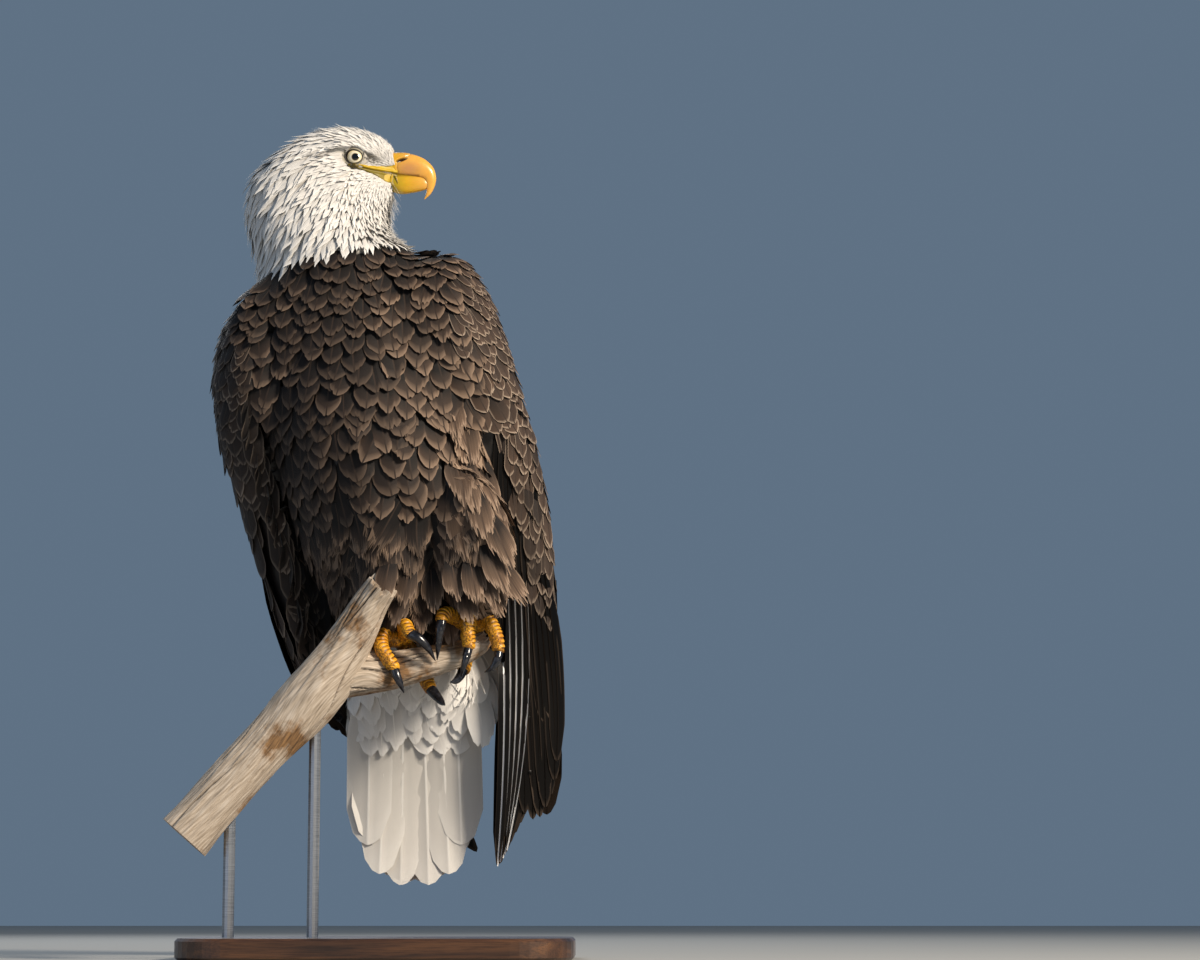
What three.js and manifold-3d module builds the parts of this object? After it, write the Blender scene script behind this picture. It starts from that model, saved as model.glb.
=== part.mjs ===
// A bald eagle perched on a short cut length of dead branch, held on a plain display stand.
// Millimetres, +Z up. The origin is the centre of the underside of the stand's base.
// The bird faces -Y and looks to its own left, along +X.

import * as THREE from 'three';
import { mergeVertices } from 'three/addons/utils/BufferGeometryUtils.js';
import Module from 'manifold-3d';

const wasm = await Module();
wasm.setup();

// ---------------------------------------------------------------- driving dimensions

const GAP = 0.35;              // clearance left between neighbouring pieces
const BASE_LENGTH = 400;       // stand base, along X
const BASE_WIDTH = 290;        // stand base, along Y
const BASE_HEIGHT = 22;
const BASE_CORNER = 60;
const BASE_BEVEL = 3;
const ROD_RADIUS = 6;
const ROD_PLACES = [[-66, -44], [-150, -58]];   // x, y of each rod
const ROD_REACH = 330;         // rods are cut off by the perch below this height

const HEAD_Y = -32;            // the head's plane of symmetry, parallel to X and Z
const EYE_X = -31.3;
const EYE_Z = 829.5;
const EYE_SPREAD = 21;         // eye centre to the head's plane of symmetry
const EYE_RADIUS = 12.5;
const BEAK_WIDTH = 0.94;       // share of a round bill's width

const SECTION_SIDES = 24;      // facets round the body's sections
const SLAB_STEPS = 6;          // facets across one face of a folded wing

// ---------------------------------------------------------------- curves and skins

// Values between stations: a Catmull-Rom spline through every column of numbers.
function smoothRows(stations, perSpan) {
  const rows = [];
  const last = stations.length - 1;
  for (let step = 0; step <= last * perSpan; step += 1) {
    const span = Math.min(Math.floor(step / perSpan), last - 1);
    const t = step / perSpan - span;
    const [a, b, c, d] = [-1, 0, 1, 2].map((k) => stations[Math.min(Math.max(span + k, 0), last)]);
    rows.push(b.map((value, i) => 0.5 * (2 * value + (c[i] - a[i]) * t
      + (2 * a[i] - 5 * value + 4 * c[i] - d[i]) * t * t
      + (3 * value - a[i] - 3 * c[i] + d[i]) * t * t * t)));
  }
  return rows;
}

// A closed skin over rings of equal count, drawn to one point beyond each end ring.
function closedSkin(rings, firstPole, lastPole) {
  const sides = rings[0].length;
  const points = [firstPole, ...rings.flat(), lastPole];
  const end = points.length - 1;
  const at = (ring, side) => 1 + ring * sides + (side % sides);
  const faces = [];
  for (let side = 0; side < sides; side += 1) {
    faces.push([0, at(0, side + 1), at(0, side)]);
    for (let ring = 0; ring < rings.length - 1; ring += 1) {
      faces.push([at(ring, side), at(ring, side + 1), at(ring + 1, side + 1)]);
      faces.push([at(ring, side), at(ring + 1, side + 1), at(ring + 1, side)]);
    }
    faces.push([end, at(rings.length - 1, side), at(rings.length - 1, side + 1)]);
  }
  const volume = faces.reduce((sum, [a, b, c]) => (
    sum + points[a].dot(new THREE.Vector3().crossVectors(points[b], points[c]))), 0);
  if (volume < 0) faces.forEach((face) => face.reverse());
  const geometry = new THREE.BufferGeometry();
  const flat = points.flatMap((point) => point.toArray());
  geometry.setAttribute('position', new THREE.Float32BufferAttribute(flat, 3));
  geometry.setIndex(faces.flat());
  return geometry;
}

// ---------------------------------------------------------------- solids, joins and cuts

function solidOf(geometry) {
  const bare = geometry.clone();
  bare.deleteAttribute('normal');
  bare.deleteAttribute('uv');
  const merged = mergeVertices(bare, 1e-4);
  return new wasm.Manifold(new wasm.Mesh({
    numProp: 3,
    vertProperties: new Float32Array(merged.attributes.position.array),
    triVerts: new Uint32Array(merged.index.array),
  }));
}

// What is left after a cut: the largest body, without any crumbs.
function mainBody(solid) {
  return solid.decompose().reduce((best, piece) => (
    piece.volume() > best.volume() ? piece : best));
}

function joined(...solids) {
  return solids.reduce((sum, solid) => sum.add(solid));
}

function without(solid, ...cutters) {
  return mainBody(cutters.reduce((rest, cutter) => rest.subtract(cutter), solid));
}

// The half of a solid on the side that `normal` points to, half a gap clear of the plane.
function halfOf(solid, point, normal) {
  const size = 2400;
  const box = new THREE.BoxGeometry(size, size, size);
  const turn = new THREE.Quaternion().setFromUnitVectors(
    new THREE.Vector3(0, 0, 1), normal.clone().normalize());
  box.applyQuaternion(turn);
  const shift = normal.clone().normalize().multiplyScalar(size / 2 + GAP / 2);
  box.translate(point.x + shift.x, point.y + shift.y, point.z + shift.z);
  return mainBody(solid.intersect(solidOf(box)));
}

function geometryOf(solid) {
  const mesh = solid.getMesh();
  const geometry = new THREE.BufferGeometry();
  geometry.setAttribute('position', new THREE.BufferAttribute(mesh.vertProperties, 3));
  geometry.setIndex(new THREE.BufferAttribute(mesh.triVerts, 1));
  geometry.computeVertexNormals();
  return geometry;
}

// ---------------------------------------------------------------- forms of the body

// A form stacked along Z. Station: z, centre x, centre y, half width, front depth, back depth.
function uprightForm(stations, grow = 0, { perSpan = 2, sides = SECTION_SIDES, square = 2 } = {}) {
  const rows = smoothRows(stations, perSpan);
  const power = 2 / square;
  const rings = rows.map(([z, x, y, half, front, back]) => {
    const ring = [];
    for (let side = 0; side < sides; side += 1) {
      const angle = (side / sides) * 2 * Math.PI;
      const across = Math.sign(Math.cos(angle)) * Math.abs(Math.cos(angle)) ** power;
      const along = Math.sign(Math.sin(angle)) * Math.abs(Math.sin(angle)) ** power;
      const depth = (along < 0 ? front : back) + grow;
      ring.push(new THREE.Vector3(x + across * (half + grow), y + along * depth, z));
    }
    return ring;
  });
  return solidOf(closedSkin(rings, ...polesOf(rows, grow, 0)));
}

// The end points of a form: its end stations' centres, pushed out past the end rings.
function polesOf(rows, grow, axis) {
  const point = ([z, x, y]) => [new THREE.Vector3(x, y, z), new THREE.Vector3(z, x, y)][axis];
  const [first, last] = [rows[0], rows[rows.length - 1]];
  const reach = Math.sign(first[0] - last[0]) * (grow + 1.5);
  const ends = [[first[0] + reach, ...first.slice(1)], [last[0] - reach, ...last.slice(1)]];
  return ends.map(point);
}

// A form laid along X, even about the plane y = HEAD_Y. Station: x, top, bottom, half width,
// and how square its section is (2 is an ellipse).
function levelForm(stations, grow = 0, { perSpan = 2, sides = 16 } = {}) {
  const rows = smoothRows(stations, perSpan);
  const rings = rows.map(([x, top, bottom, half, square]) => {
    const ring = [];
    const middle = (top + bottom) / 2;
    const height = (top - bottom) / 2 + grow;
    for (let side = 0; side < sides; side += 1) {
      const angle = (side / sides) * 2 * Math.PI;
      const power = 2 / square;
      const across = Math.sign(Math.cos(angle)) * Math.abs(Math.cos(angle)) ** power;
      const up = Math.sign(Math.sin(angle)) * Math.abs(Math.sin(angle)) ** power;
      ring.push(new THREE.Vector3(x, HEAD_Y + across * (half + grow), middle + up * height));
    }
    return ring;
  });
  const ends = rows.map(([x, top, bottom]) => [x, HEAD_Y, (top + bottom) / 2]);
  return solidOf(closedSkin(rings, ...polesOf(ends, grow, 1)));
}

// A folded wing, stacked along Z: a curved slab given by its outer face. Station: z, then x and y
// of the face's front edge, of its middle and of its back edge, and the slab's thickness.
// `side` is 1 for the right wing and -1 for the left, whose outer faces look opposite ways.
function foldedSlab(stations, side, grow = 0) {
  const rows = smoothRows(stations, 1);
  const rings = rows.map(([z, fx, fy, mx, my, bx, by, thick]) => {
    const outer = [];
    const inner = [];
    for (let step = 0; step <= SLAB_STEPS; step += 1) {
      const u = step / SLAB_STEPS;
      const weights = [(1 - u) * (1 - 2 * u), 4 * u * (1 - u), u * (2 * u - 1)];
      const slopes = [4 * u - 3, 4 - 8 * u, 4 * u - 1];
      const x = weights[0] * fx + weights[1] * mx + weights[2] * bx;
      const y = weights[0] * fy + weights[1] * my + weights[2] * by;
      const dx = slopes[0] * fx + slopes[1] * mx + slopes[2] * bx;
      const dy = slopes[0] * fy + slopes[1] * my + slopes[2] * by;
      const run = Math.hypot(dx, dy);
      const [outX, outY] = [(-dy / run) * side, (dx / run) * side];
      const taper = Math.sqrt(1 - 0.92 * (2 * u - 1) ** 4);
      const [out, back] = [grow, (thick + grow) * taper];
      const past = (2 * u - 1) ** 3 * grow;
      const [px, py] = [x + (dx / run) * past, y + (dy / run) * past];
      outer.push(new THREE.Vector3(px + outX * out, py + outY * out, z));
      inner.push(new THREE.Vector3(px - outX * back, py - outY * back, z));
    }
    return [...outer, ...inner.reverse()];
  });
  const ends = rows.map(([z, , , mx, my]) => [z, mx, my]);
  return solidOf(closedSkin(rings, ...polesOf(ends, grow, 0)));
}

// A round bar that bends and tapers. Point: x, y, z, radius. `wobble` gives the factor on the
// radius at a place along (0 to 1) and round (0 to 1) the bar, for gnarled wood and toe pads.
function taperedBar(points, grow = 0, { rings = 12, sides = 10, wobble = () => 1 } = {}) {
  const path = new THREE.CatmullRomCurve3(points.map(([x, y, z]) => new THREE.Vector3(x, y, z)));
  const radii = smoothRows(points.map((point) => [point[3]]), 8).flat();
  const { normals, binormals, tangents } = path.computeFrenetFrames(rings, false);
  const skin = [];
  for (let step = 0; step <= rings; step += 1) {
    const t = step / rings;
    const centre = path.getPoint(t);
    const radius = radii[Math.round(t * (radii.length - 1))];
    const ring = [];
    for (let side = 0; side < sides; side += 1) {
      const angle = (side / sides) * 2 * Math.PI;
      const reach = radius * wobble(t, side / sides) + grow;
      ring.push(centre.clone()
        .addScaledVector(normals[step], Math.cos(angle) * reach)
        .addScaledVector(binormals[step], Math.sin(angle) * reach));
    }
    skin.push(ring);
  }
  const dome = (end) => Math.min(radii[end ? radii.length - 1 : 0] * 0.45, 4) + grow;
  const first = path.getPoint(0).addScaledVector(tangents[0], -dome(0));
  const last = path.getPoint(1).addScaledVector(tangents[rings], dome(1));
  return solidOf(closedSkin(skin, first, last));
}

function ball(x, y, z, radius, grow = 0, [width, height] = [12, 8]) {
  const geometry = new THREE.SphereGeometry(radius + grow, width, height);
  geometry.translate(x, y, z);
  return solidOf(geometry);
}

// ---------------------------------------------------------------- head, neck and trunk

const TRUNK = [
  [748, -52, -12, 58, 54, 46],
  [734, -45, -11, 87, 74, 62],
  [700, -41, -5, 98, 90, 85],
  [655, -30, 0, 118, 102, 99],
  [600, -21, 0, 124, 110, 106],
  [535, -10, 0, 121, 113, 111],
  [470, 5, 3, 112, 102, 109],
  [415, 14, 12, 96, 80, 97],
  [375, 21, 26, 80, 58, 80],
  [340, 25, 40, 66, 38, 60],
  [304, 28, 51, 53, 27, 43],
];
const NECK = [
  [705, -50, -10, 84, 74, 66],
  [735, -54, -12, 87, 72, 63],
  [758, -72, -18, 76, 61, 57],
  [778, -74, -24, 78, 50, 49],
  [800, -67, -30, 78, 42, 43],
];
const HEAD = [
  [-146, 803, 786, 13, 2],
  [-137, 821, 776, 26, 2],
  [-116, 841, 765, 37, 2.1],
  [-90, 858, 762, 42, 2.2],
  [-60, 867.5, 770, 39.5, 2.3],
  [-30, 867, 780, 31, 2.4],
  [-5, 858, 790, 23, 2.3],
  [8, 845, 795.5, 17, 2.2],
  [13, 836, 800, 11, 2],
];
const NECK_CUT = [new THREE.Vector3(-50, -10, 715), new THREE.Vector3(-0.198, 0.013, 0.98)];
const HEAD_CUT = [new THREE.Vector3(-60, -25, 784), new THREE.Vector3(0.16, 0, 0.98)];
const TAIL_CUT = [new THREE.Vector3(28, 50, 314), new THREE.Vector3(0, 0.2, 0.98)];

// ---------------------------------------------------------------- wings and tail

const WING_LEFT = [
  [734, 52, -50, 76, -32, 56, -4, 12],
  [722, 47, -76, 91, -26, 50, 48, 25],
  [690, 58, -94, 112, -10, 40, 99, 28],
  [640, 73, -97, 128, -2, 26, 111, 28],
  [585, 94, -80, 142, 12, 16, 119, 26],
  [529, 111, -50, 155, 28, 14, 125, 22],
  [470, 122, -23, 166, 42, 24, 128, 20],
  [410, 127, -6, 173.5, 54, 47, 131, 18],
  [350, 125, 9, 179, 64, 82, 133, 15],
  [290, 129, 29, 185, 75, 112, 131, 13],
  [238, 134, 48, 189.5, 82, 133, 127, 12],
  [190, 137, 65, 185, 87, 146, 120, 10],
  [160, 141, 79, 170, 91, 151, 110, 8],
  [147, 147, 88, 155, 92, 151, 100, 4],
];
const WINGTIP_LEFT = [
  [370, 126, 12, 137, 26, 147, 44, 4],
  [346, 122, 9, 141, 28, 158, 54, 8],
  [290, 119, 12, 140, 33, 162, 63, 9],
  [225, 114, 23, 134, 43, 157, 69, 9],
  [160, 110, 46, 126, 59, 143, 77, 7],
  [120, 110, 65, 119, 73, 132, 84, 6],
  [94, 116, 82, 119, 85, 122, 88, 3],
];
const WING_RIGHT = [
  [679, -122, -44, -146, -28, -122, 4, 12],
  [668, -118, -72, -164, -22, -112, 56, 26],
  [640, -125, -86, -176, -13, -94, 98, 28],
  [595, -135, -84, -180, -1, -80, 115, 28],
  [540, -133, -63, -173, 12, -68, 122, 24],
  [480, -116, -37, -155, 27, -56, 128, 20],
  [420, -98, -10, -136, 41, -42, 131, 18],
  [360, -87, 16, -115, 57, -26, 134, 16],
  [305, -71, 43, -95, 76, -5, 136, 13],
  [255, -48, 78, -67, 97, 19, 138, 11],
  [215, -12, 108, -28, 119, 42, 139, 9],
  [192, 22, 126, 18, 130, 44, 137, 4],
];
const WINGTIP_RIGHT = [
  [330, -76, 45, -64, 62, -52, 80, 4],
  [308, -78, 49, -60, 71, -38, 95, 8],
  [250, -70, 83, -42, 99, -8, 114, 9],
  [200, -22, 107, 3, 116, 34, 124, 7],
  [155, 26, 119, 46, 123, 70, 128, 6],
  [125, 66, 124, 76, 126, 88, 129, 5],
  [109, 92, 127, 95, 128, 98, 129, 3],
];
const TAIL = [
  [336, 26, 48, 52, 24, 34],
  [300, 29, 54, 64, 34, 34],
  [262, 33, 62, 74, 28, 26],
  [225, 32, 71, 72, 15, 18],
  [190, 31, 78, 66, 8, 12],
  [155, 32, 85, 65, 6.5, 9],
  [125, 35, 90, 60, 5.5, 7],
  [103, 37, 95, 46, 4.5, 5.5],
  [86, 36, 97.5, 28, 3.5, 4],
  [77, 33, 98, 10, 2, 2],
];

// ---------------------------------------------------------------- legs and feet

const THIGH_RIGHT = [
  [506, -12, -34, 16, 16, 16],
  [488, -9, -50, 38, 50, 38],
  [450, 1, -46, 47, 48, 40],
  [400, 9, -33, 42, 39, 36],
  [360, 17, -25, 31, 28, 28],
  [331, 22, -20, 14, 11, 13],
];
const THIGH_LEFT = [
  [506, 74, -34, 14, 16, 16],
  [488, 78, -48, 34, 44, 38],
  [450, 88, -44, 44, 45, 40],
  [410, 94, -37, 41, 39, 37],
  [375, 97, -29, 33, 29, 32],
  [346, 97, -22, 15, 12, 14],
];

// Each foot: the shank, the pad of the sole, and each toe with the claw on its end.
const FEET = {
  right: {
    shank: [[17, -16, 362, 10], [18, -17, 345, 10], [20, -19, 328, 11]],
    sole: [20, -20, 326, 11],
    toes: [
      [[16, -20, 326, 7.5], [0, -15, 328, 7], [-14, -17, 322, 6.6], [-24, -21, 312, 6]],
      [[18, -24, 326, 7.5], [2, -40, 330, 7], [2, -51, 316, 6.8], [13, -53, 298, 6.3]],
      [[24, -22, 328, 7.5], [25, -40, 337, 7.2], [26, -52, 338, 6.8], [30, -58, 331, 6.2]],
      [[22, -16, 324, 8], [32, 0, 312, 8], [42, 3, 294, 7.4], [48, -2, 280, 6.6]],
    ],
    claws: [
      [[-25, -21, 310, 5.2], [-31, -19, 301, 4.6], [-35, -18, 291, 3.2], [-37, -22, 282, 0.7]],
      [[14, -53, 296, 5.2], [18, -56, 287, 4.6], [22, -55, 278, 3.2], [25, -49, 270, 0.7]],
      [[31, -58, 330, 6], [40, -61, 325, 5.2], [50, -58, 315, 3.6], [57, -49, 303, 0.7]],
      [[50, -4, 277, 6], [56, -10, 270, 5.2], [62, -17, 263, 3.6], [66, -26, 259, 0.7]],
    ],
  },
  left: {
    shank: [[96, -14, 378, 10], [95, -14, 360, 10], [93, -16, 344, 11]],
    sole: [93, -17, 341, 11],
    toes: [
      [[88, -20, 342, 7.5], [74, -36, 350, 7.2], [66, -47, 351, 6.8], [64, -53, 346, 6.2]],
      [[92, -20, 342, 7.5], [91, -36, 351, 7.2], [90, -45, 338, 6.8], [91, -46, 320, 6.3]],
      [[97, -17, 341, 7.5], [109, -30, 347, 7], [118, -36, 331, 6.6], [121, -36, 317, 6.1]],
      [[91, -12, 339, 8], [88, 5, 331, 8], [86, 9, 314, 7.4], [84, 4, 300, 6.6]],
    ],
    claws: [
      [[63.5, -54, 344, 5.8], [62, -57, 333, 5], [60, -53, 317, 3.5], [58.5, -44, 304, 0.7]],
      [[91, -46, 317, 5.4], [89, -50, 308, 4.8], [86, -50, 297, 3.4], [83, -45, 286, 0.7]],
      [[121, -36, 315, 5.2], [120, -39, 306, 4.6], [115, -40, 297, 3.2], [107, -37, 292, 0.7]],
      [[83, 2, 297, 6], [80, -5, 290, 5.2], [76, -13, 285, 3.6], [71, -22, 283, 0.7]],
    ],
  },
};

// ---------------------------------------------------------------- bill

const BILL_UPPER = [
  [-8, HEAD_Y, 829, 8],
  [7, HEAD_Y, 829.3, 11.2],
  [20, HEAD_Y, 828, 11.6],
  [32, HEAD_Y, 825, 10.4],
  [42, HEAD_Y, 818.5, 8.2],
  [47, HEAD_Y, 810.5, 6],
  [46.5, HEAD_Y, 803, 4.6],
  [44, HEAD_Y, 796.5, 2.9],
  [41.2, HEAD_Y, 791, 0.8],
];
const BILL_LOWER = [
  [-14, 815, 806, 9, 2],
  [-6, 818, 800, 12, 2.2],
  [10, 818, 796.5, 10.5, 2.2],
  [24, 817, 797.5, 8.5, 2.2],
  [35, 815.5, 800.5, 6.2, 2.2],
  [40, 812, 804, 3, 2],
];

// ---------------------------------------------------------------- perch and stand

const LIMB = [
  [-195, -70, 123, 28],
  [-168, -66, 154, 26.5],
  [-118, -60, 212, 25.5],
  [-69, -55, 267, 29],
  [-35, -57, 315, 24],
  [-8, -70, 360, 17],
  [5, -79, 380, 15.5],
];
const ARM = [
  [-58, -50, 282, 22],
  [-22, -40, 291, 24],
  [10, -29, 295, 20.5],
  [44, -24, 303, 17],
  [78, -21, 312.5, 14],
  [98, -18, 322, 12],
  [108, -16, 329, 8],
];

function gnarled(t, round) {
  const turn = round * 2 * Math.PI;
  return 1 + 0.045 * Math.sin(3 * turn + 9 * t) + 0.03 * Math.sin(2 * turn - 17 * t + 1);
}

function perchSolid(grow = 0) {
  const limb = taperedBar(LIMB, grow, { rings: 15, sides: 12, wobble: gnarled });
  const arm = taperedBar(ARM, grow, { rings: 10, sides: 10, wobble: gnarled });
  return limb.add(arm);
}

function baseGeometry() {
  const [halfX, halfY, r] = [BASE_LENGTH / 2 - BASE_BEVEL, BASE_WIDTH / 2 - BASE_BEVEL, BASE_CORNER];
  const outline = new THREE.Shape();
  outline.moveTo(-halfX + r, -halfY);
  outline.lineTo(halfX - r, -halfY);
  outline.absarc(halfX - r, -halfY + r, r, -Math.PI / 2, 0);
  outline.lineTo(halfX, halfY - r);
  outline.absarc(halfX - r, halfY - r, r, 0, Math.PI / 2);
  outline.lineTo(-halfX + r, halfY);
  outline.absarc(-halfX + r, halfY - r, r, Math.PI / 2, Math.PI);
  outline.lineTo(-halfX, -halfY + r);
  outline.absarc(-halfX + r, -halfY + r, r, Math.PI, 1.5 * Math.PI);
  const geometry = new THREE.ExtrudeGeometry(outline, {
    depth: BASE_HEIGHT - 2 * BASE_BEVEL,
    bevelThickness: BASE_BEVEL,
    bevelSize: BASE_BEVEL,
    bevelSegments: 1,
    curveSegments: 5,
  });
  geometry.translate(0, 0, BASE_BEVEL);
  return geometry;
}

function rodSolid([x, y], perch) {
  const low = BASE_HEIGHT + GAP;
  const geometry = new THREE.CylinderGeometry(ROD_RADIUS, ROD_RADIUS, ROD_REACH - low, 12);
  geometry.rotateX(Math.PI / 2);
  geometry.translate(x, y, (ROD_REACH + low) / 2);
  const cut = solidOf(geometry).subtract(perch);
  const lowest = (a, b) => (a.boundingBox().min[2] < b.boundingBox().min[2] ? a : b);
  return cut.decompose().reduce(lowest);
}

// ---------------------------------------------------------------- assembly

const FINISHES = {
  whiteFeather: { color: 0xf1efe8, roughness: 0.9, metalness: 0 },
  brownFeather: { color: 0x3f3028, roughness: 0.85, metalness: 0 },
  flightFeather: { color: 0x1b1613, roughness: 0.7, metalness: 0 },
  bill: { color: 0xf0a51c, roughness: 0.4, metalness: 0 },
  eye: { color: 0xe6dbae, roughness: 0.08, metalness: 0 },
  toe: { color: 0xe2981a, roughness: 0.6, metalness: 0 },
  claw: { color: 0x15151a, roughness: 0.3, metalness: 0 },
  branch: { color: 0xb3a291, roughness: 0.85, metalness: 0 },
  baseWood: { color: 0x4a3425, roughness: 0.5, metalness: 0 },
  steel: { color: 0x8d9094, roughness: 0.35, metalness: 1 },
};

const eagle = new THREE.Group();

function place(name, solidOrGeometry, finish) {
  const isGeometry = solidOrGeometry instanceof THREE.BufferGeometry;
  const geometry = isGeometry ? solidOrGeometry : geometryOf(solidOrGeometry);
  const mesh = new THREE.Mesh(geometry, new THREE.MeshStandardMaterial(FINISHES[finish]));
  mesh.name = name;
  eagle.add(mesh);
}

// Bill and eyes sit in the head.
function billUpper(grow = 0) {
  const bar = taperedBar(BILL_UPPER, grow, { rings: 12, sides: 10 });
  return bar.translate([0, -HEAD_Y, 0]).scale([1, BEAK_WIDTH, 1]).translate([0, HEAD_Y, 0]);
}
const upper = billUpper();
const lower = without(levelForm(BILL_LOWER, 0, { perSpan: 1, sides: 10 }), billUpper(GAP));
place('bill_upper', upper, 'bill');
place('bill_lower', lower, 'bill');

const eyeSides = { left: 1, right: -1 };
const eyeAt = (side) => [EYE_X, HEAD_Y + eyeSides[side] * EYE_SPREAD, EYE_Z, EYE_RADIUS];
Object.keys(eyeSides).forEach((side) => place(`eye_${side}`, ball(...eyeAt(side)), 'eye'));

// Perch, feet and claws.
const perch = perchSolid();
const perchRoom = perchSolid(GAP);
place('perch', perch, 'branch');

const toePads = (t, round) => 1 + 0.07 * Math.cos(2 * Math.PI * (3 * t)) * Math.cos(2 * Math.PI * round);
function footSolid({ shank, sole, toes }, grow = 0) {
  const bars = toes.map((toe) => taperedBar(toe, grow, { rings: 6, sides: 7, wobble: toePads }));
  const leg = taperedBar(shank, grow, { rings: 2, sides: 8 });
  return joined(leg, ball(...sole, grow, [9, 6]), ...bars);
}
Object.entries(FEET).forEach(([side, foot]) => {
  place(`foot_${side}`, without(footSolid(foot), perchRoom), 'toe');
  const toeRoom = footSolid(foot, GAP);
  foot.claws.forEach((claw, index) => {
    const horn = without(taperedBar(claw, 0, { rings: 4, sides: 6 }), toeRoom, perchRoom);
    place(`claw_${side}_${index + 1}`, horn, 'claw');
  });
});

// Folded wings, with the primaries of each as a bundle of its own.
const WINGS = [
  { name: 'left', side: -1, arm: WING_LEFT, tip: WINGTIP_LEFT },
  { name: 'right', side: 1, arm: WING_RIGHT, tip: WINGTIP_RIGHT },
];
const wingRoom = WINGS.flatMap(({ name, side, arm, tip }) => {
  const tipRoom = foldedSlab(tip, side, GAP);
  place(`wing_${name}`, without(foldedSlab(arm, side), tipRoom), 'brownFeather');
  place(`wingtip_${name}`, foldedSlab(tip, side), 'flightFeather');
  return [foldedSlab(arm, side, GAP), tipRoom];
});

// Feathered thighs.
const footRoom = Object.values(FEET).map((foot) => footSolid(foot, GAP));
const thighForm = { perSpan: 1, sides: 16 };
const thighRight = without(uprightForm(THIGH_RIGHT, 0, thighForm), ...footRoom, ...wingRoom, perchRoom);
const thighLeft = without(uprightForm(THIGH_LEFT, 0, thighForm),
  uprightForm(THIGH_RIGHT, GAP, thighForm), ...footRoom, ...wingRoom, perchRoom);
place('thigh_right', thighRight, 'brownFeather');
place('thigh_left', thighLeft, 'brownFeather');
const thighRoom = [THIGH_RIGHT, THIGH_LEFT].map((thigh) => uprightForm(thigh, GAP, thighForm));

// Head, neck, trunk and tail: one form, parted by thin cuts.
const coarse = { perSpan: 1 };
const flesh = joined(uprightForm(TRUNK, 0, coarse), uprightForm(NECK, 0, coarse), levelForm(HEAD));
const tailForm = uprightForm(TAIL, 0, { perSpan: 1, square: 2.4 });
const bird = without(flesh.add(tailForm), ...wingRoom, ...thighRoom, ...footRoom, perchRoom);
const below = ([point, normal]) => [point, normal.clone().negate()];
const aboveNeck = halfOf(bird, ...NECK_CUT);
const belowNeck = halfOf(bird, ...below(NECK_CUT));
const eyeRoom = Object.keys(eyeSides).map((side) => ball(...eyeAt(side), GAP));
const billRoom = [billUpper(GAP), levelForm(BILL_LOWER, GAP, { perSpan: 1, sides: 10 })];
place('head', without(halfOf(aboveNeck, ...HEAD_CUT), ...eyeRoom, ...billRoom), 'whiteFeather');
place('neck', halfOf(aboveNeck, ...below(HEAD_CUT)), 'whiteFeather');
place('trunk', halfOf(belowNeck, ...TAIL_CUT), 'brownFeather');
place('tail', halfOf(belowNeck, ...below(TAIL_CUT)), 'whiteFeather');

// Stand: two rods up to the limb from a flat base.
place('stand_base', baseGeometry(), 'baseWood');
ROD_PLACES.forEach((spot, index) => place(`stand_rod_${index + 1}`, rodSolid(spot, perchRoom), 'steel'));

export default eagle;
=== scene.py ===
"""The finished look of a bald eagle display model, on its perch and stand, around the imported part."""

import math

import bmesh
import bpy
import numpy as np
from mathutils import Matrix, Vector
from mathutils.bvhtree import BVHTree
from mathutils.kdtree import KDTree


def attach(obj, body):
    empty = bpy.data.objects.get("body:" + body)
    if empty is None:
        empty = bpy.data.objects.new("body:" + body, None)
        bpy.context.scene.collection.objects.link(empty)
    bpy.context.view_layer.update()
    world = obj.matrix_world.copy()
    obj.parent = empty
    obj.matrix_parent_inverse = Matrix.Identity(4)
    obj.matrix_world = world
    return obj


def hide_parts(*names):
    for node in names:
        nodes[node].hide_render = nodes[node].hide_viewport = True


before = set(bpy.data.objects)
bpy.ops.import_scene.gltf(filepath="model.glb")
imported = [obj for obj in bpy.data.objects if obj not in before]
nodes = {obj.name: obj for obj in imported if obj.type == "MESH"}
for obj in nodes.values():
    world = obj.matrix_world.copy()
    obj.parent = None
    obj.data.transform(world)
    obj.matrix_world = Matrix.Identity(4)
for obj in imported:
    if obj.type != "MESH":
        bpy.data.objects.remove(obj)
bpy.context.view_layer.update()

MM = 0.001


# ---- Camera. A long lens a little over three metres from the bird, low down and looking up eight degrees
# at it, with its aim to the bird's left, so that the bird stands in the left half of the picture.

aim = np.array([0.22575, 0.0, 0.497])
distance = 3.2
look_up = math.radians(8)
camera_data = bpy.data.cameras.new("camera")
camera_data.lens = 91.43
camera_data.sensor_width = 36
camera = bpy.data.objects.new("camera", camera_data)
camera.location = aim - distance * np.array([0, math.cos(look_up), math.sin(look_up)])
camera.rotation_euler = (math.radians(90) + look_up, 0, 0)
bpy.context.scene.collection.objects.link(camera)
bpy.context.scene.camera = camera


# ---- Stand. A walnut base board, planed, stained and rubbed with satin lacquer, and two brushed steel
# rods set into it that carry the perch. All three keep the shape that the frame gives them.

def linear(code):
    """The linear colour of an sRGB hex code: each channel c is c/12.92, or ((c + 0.055)/1.055)^2.4."""
    c = np.array([int(code[i:i + 2], 16) for i in (1, 3, 5)]) / 255
    return (*np.where(c <= 0.04045, c / 12.92, ((c + 0.055) / 1.055) ** 2.4), 1.0)


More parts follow.
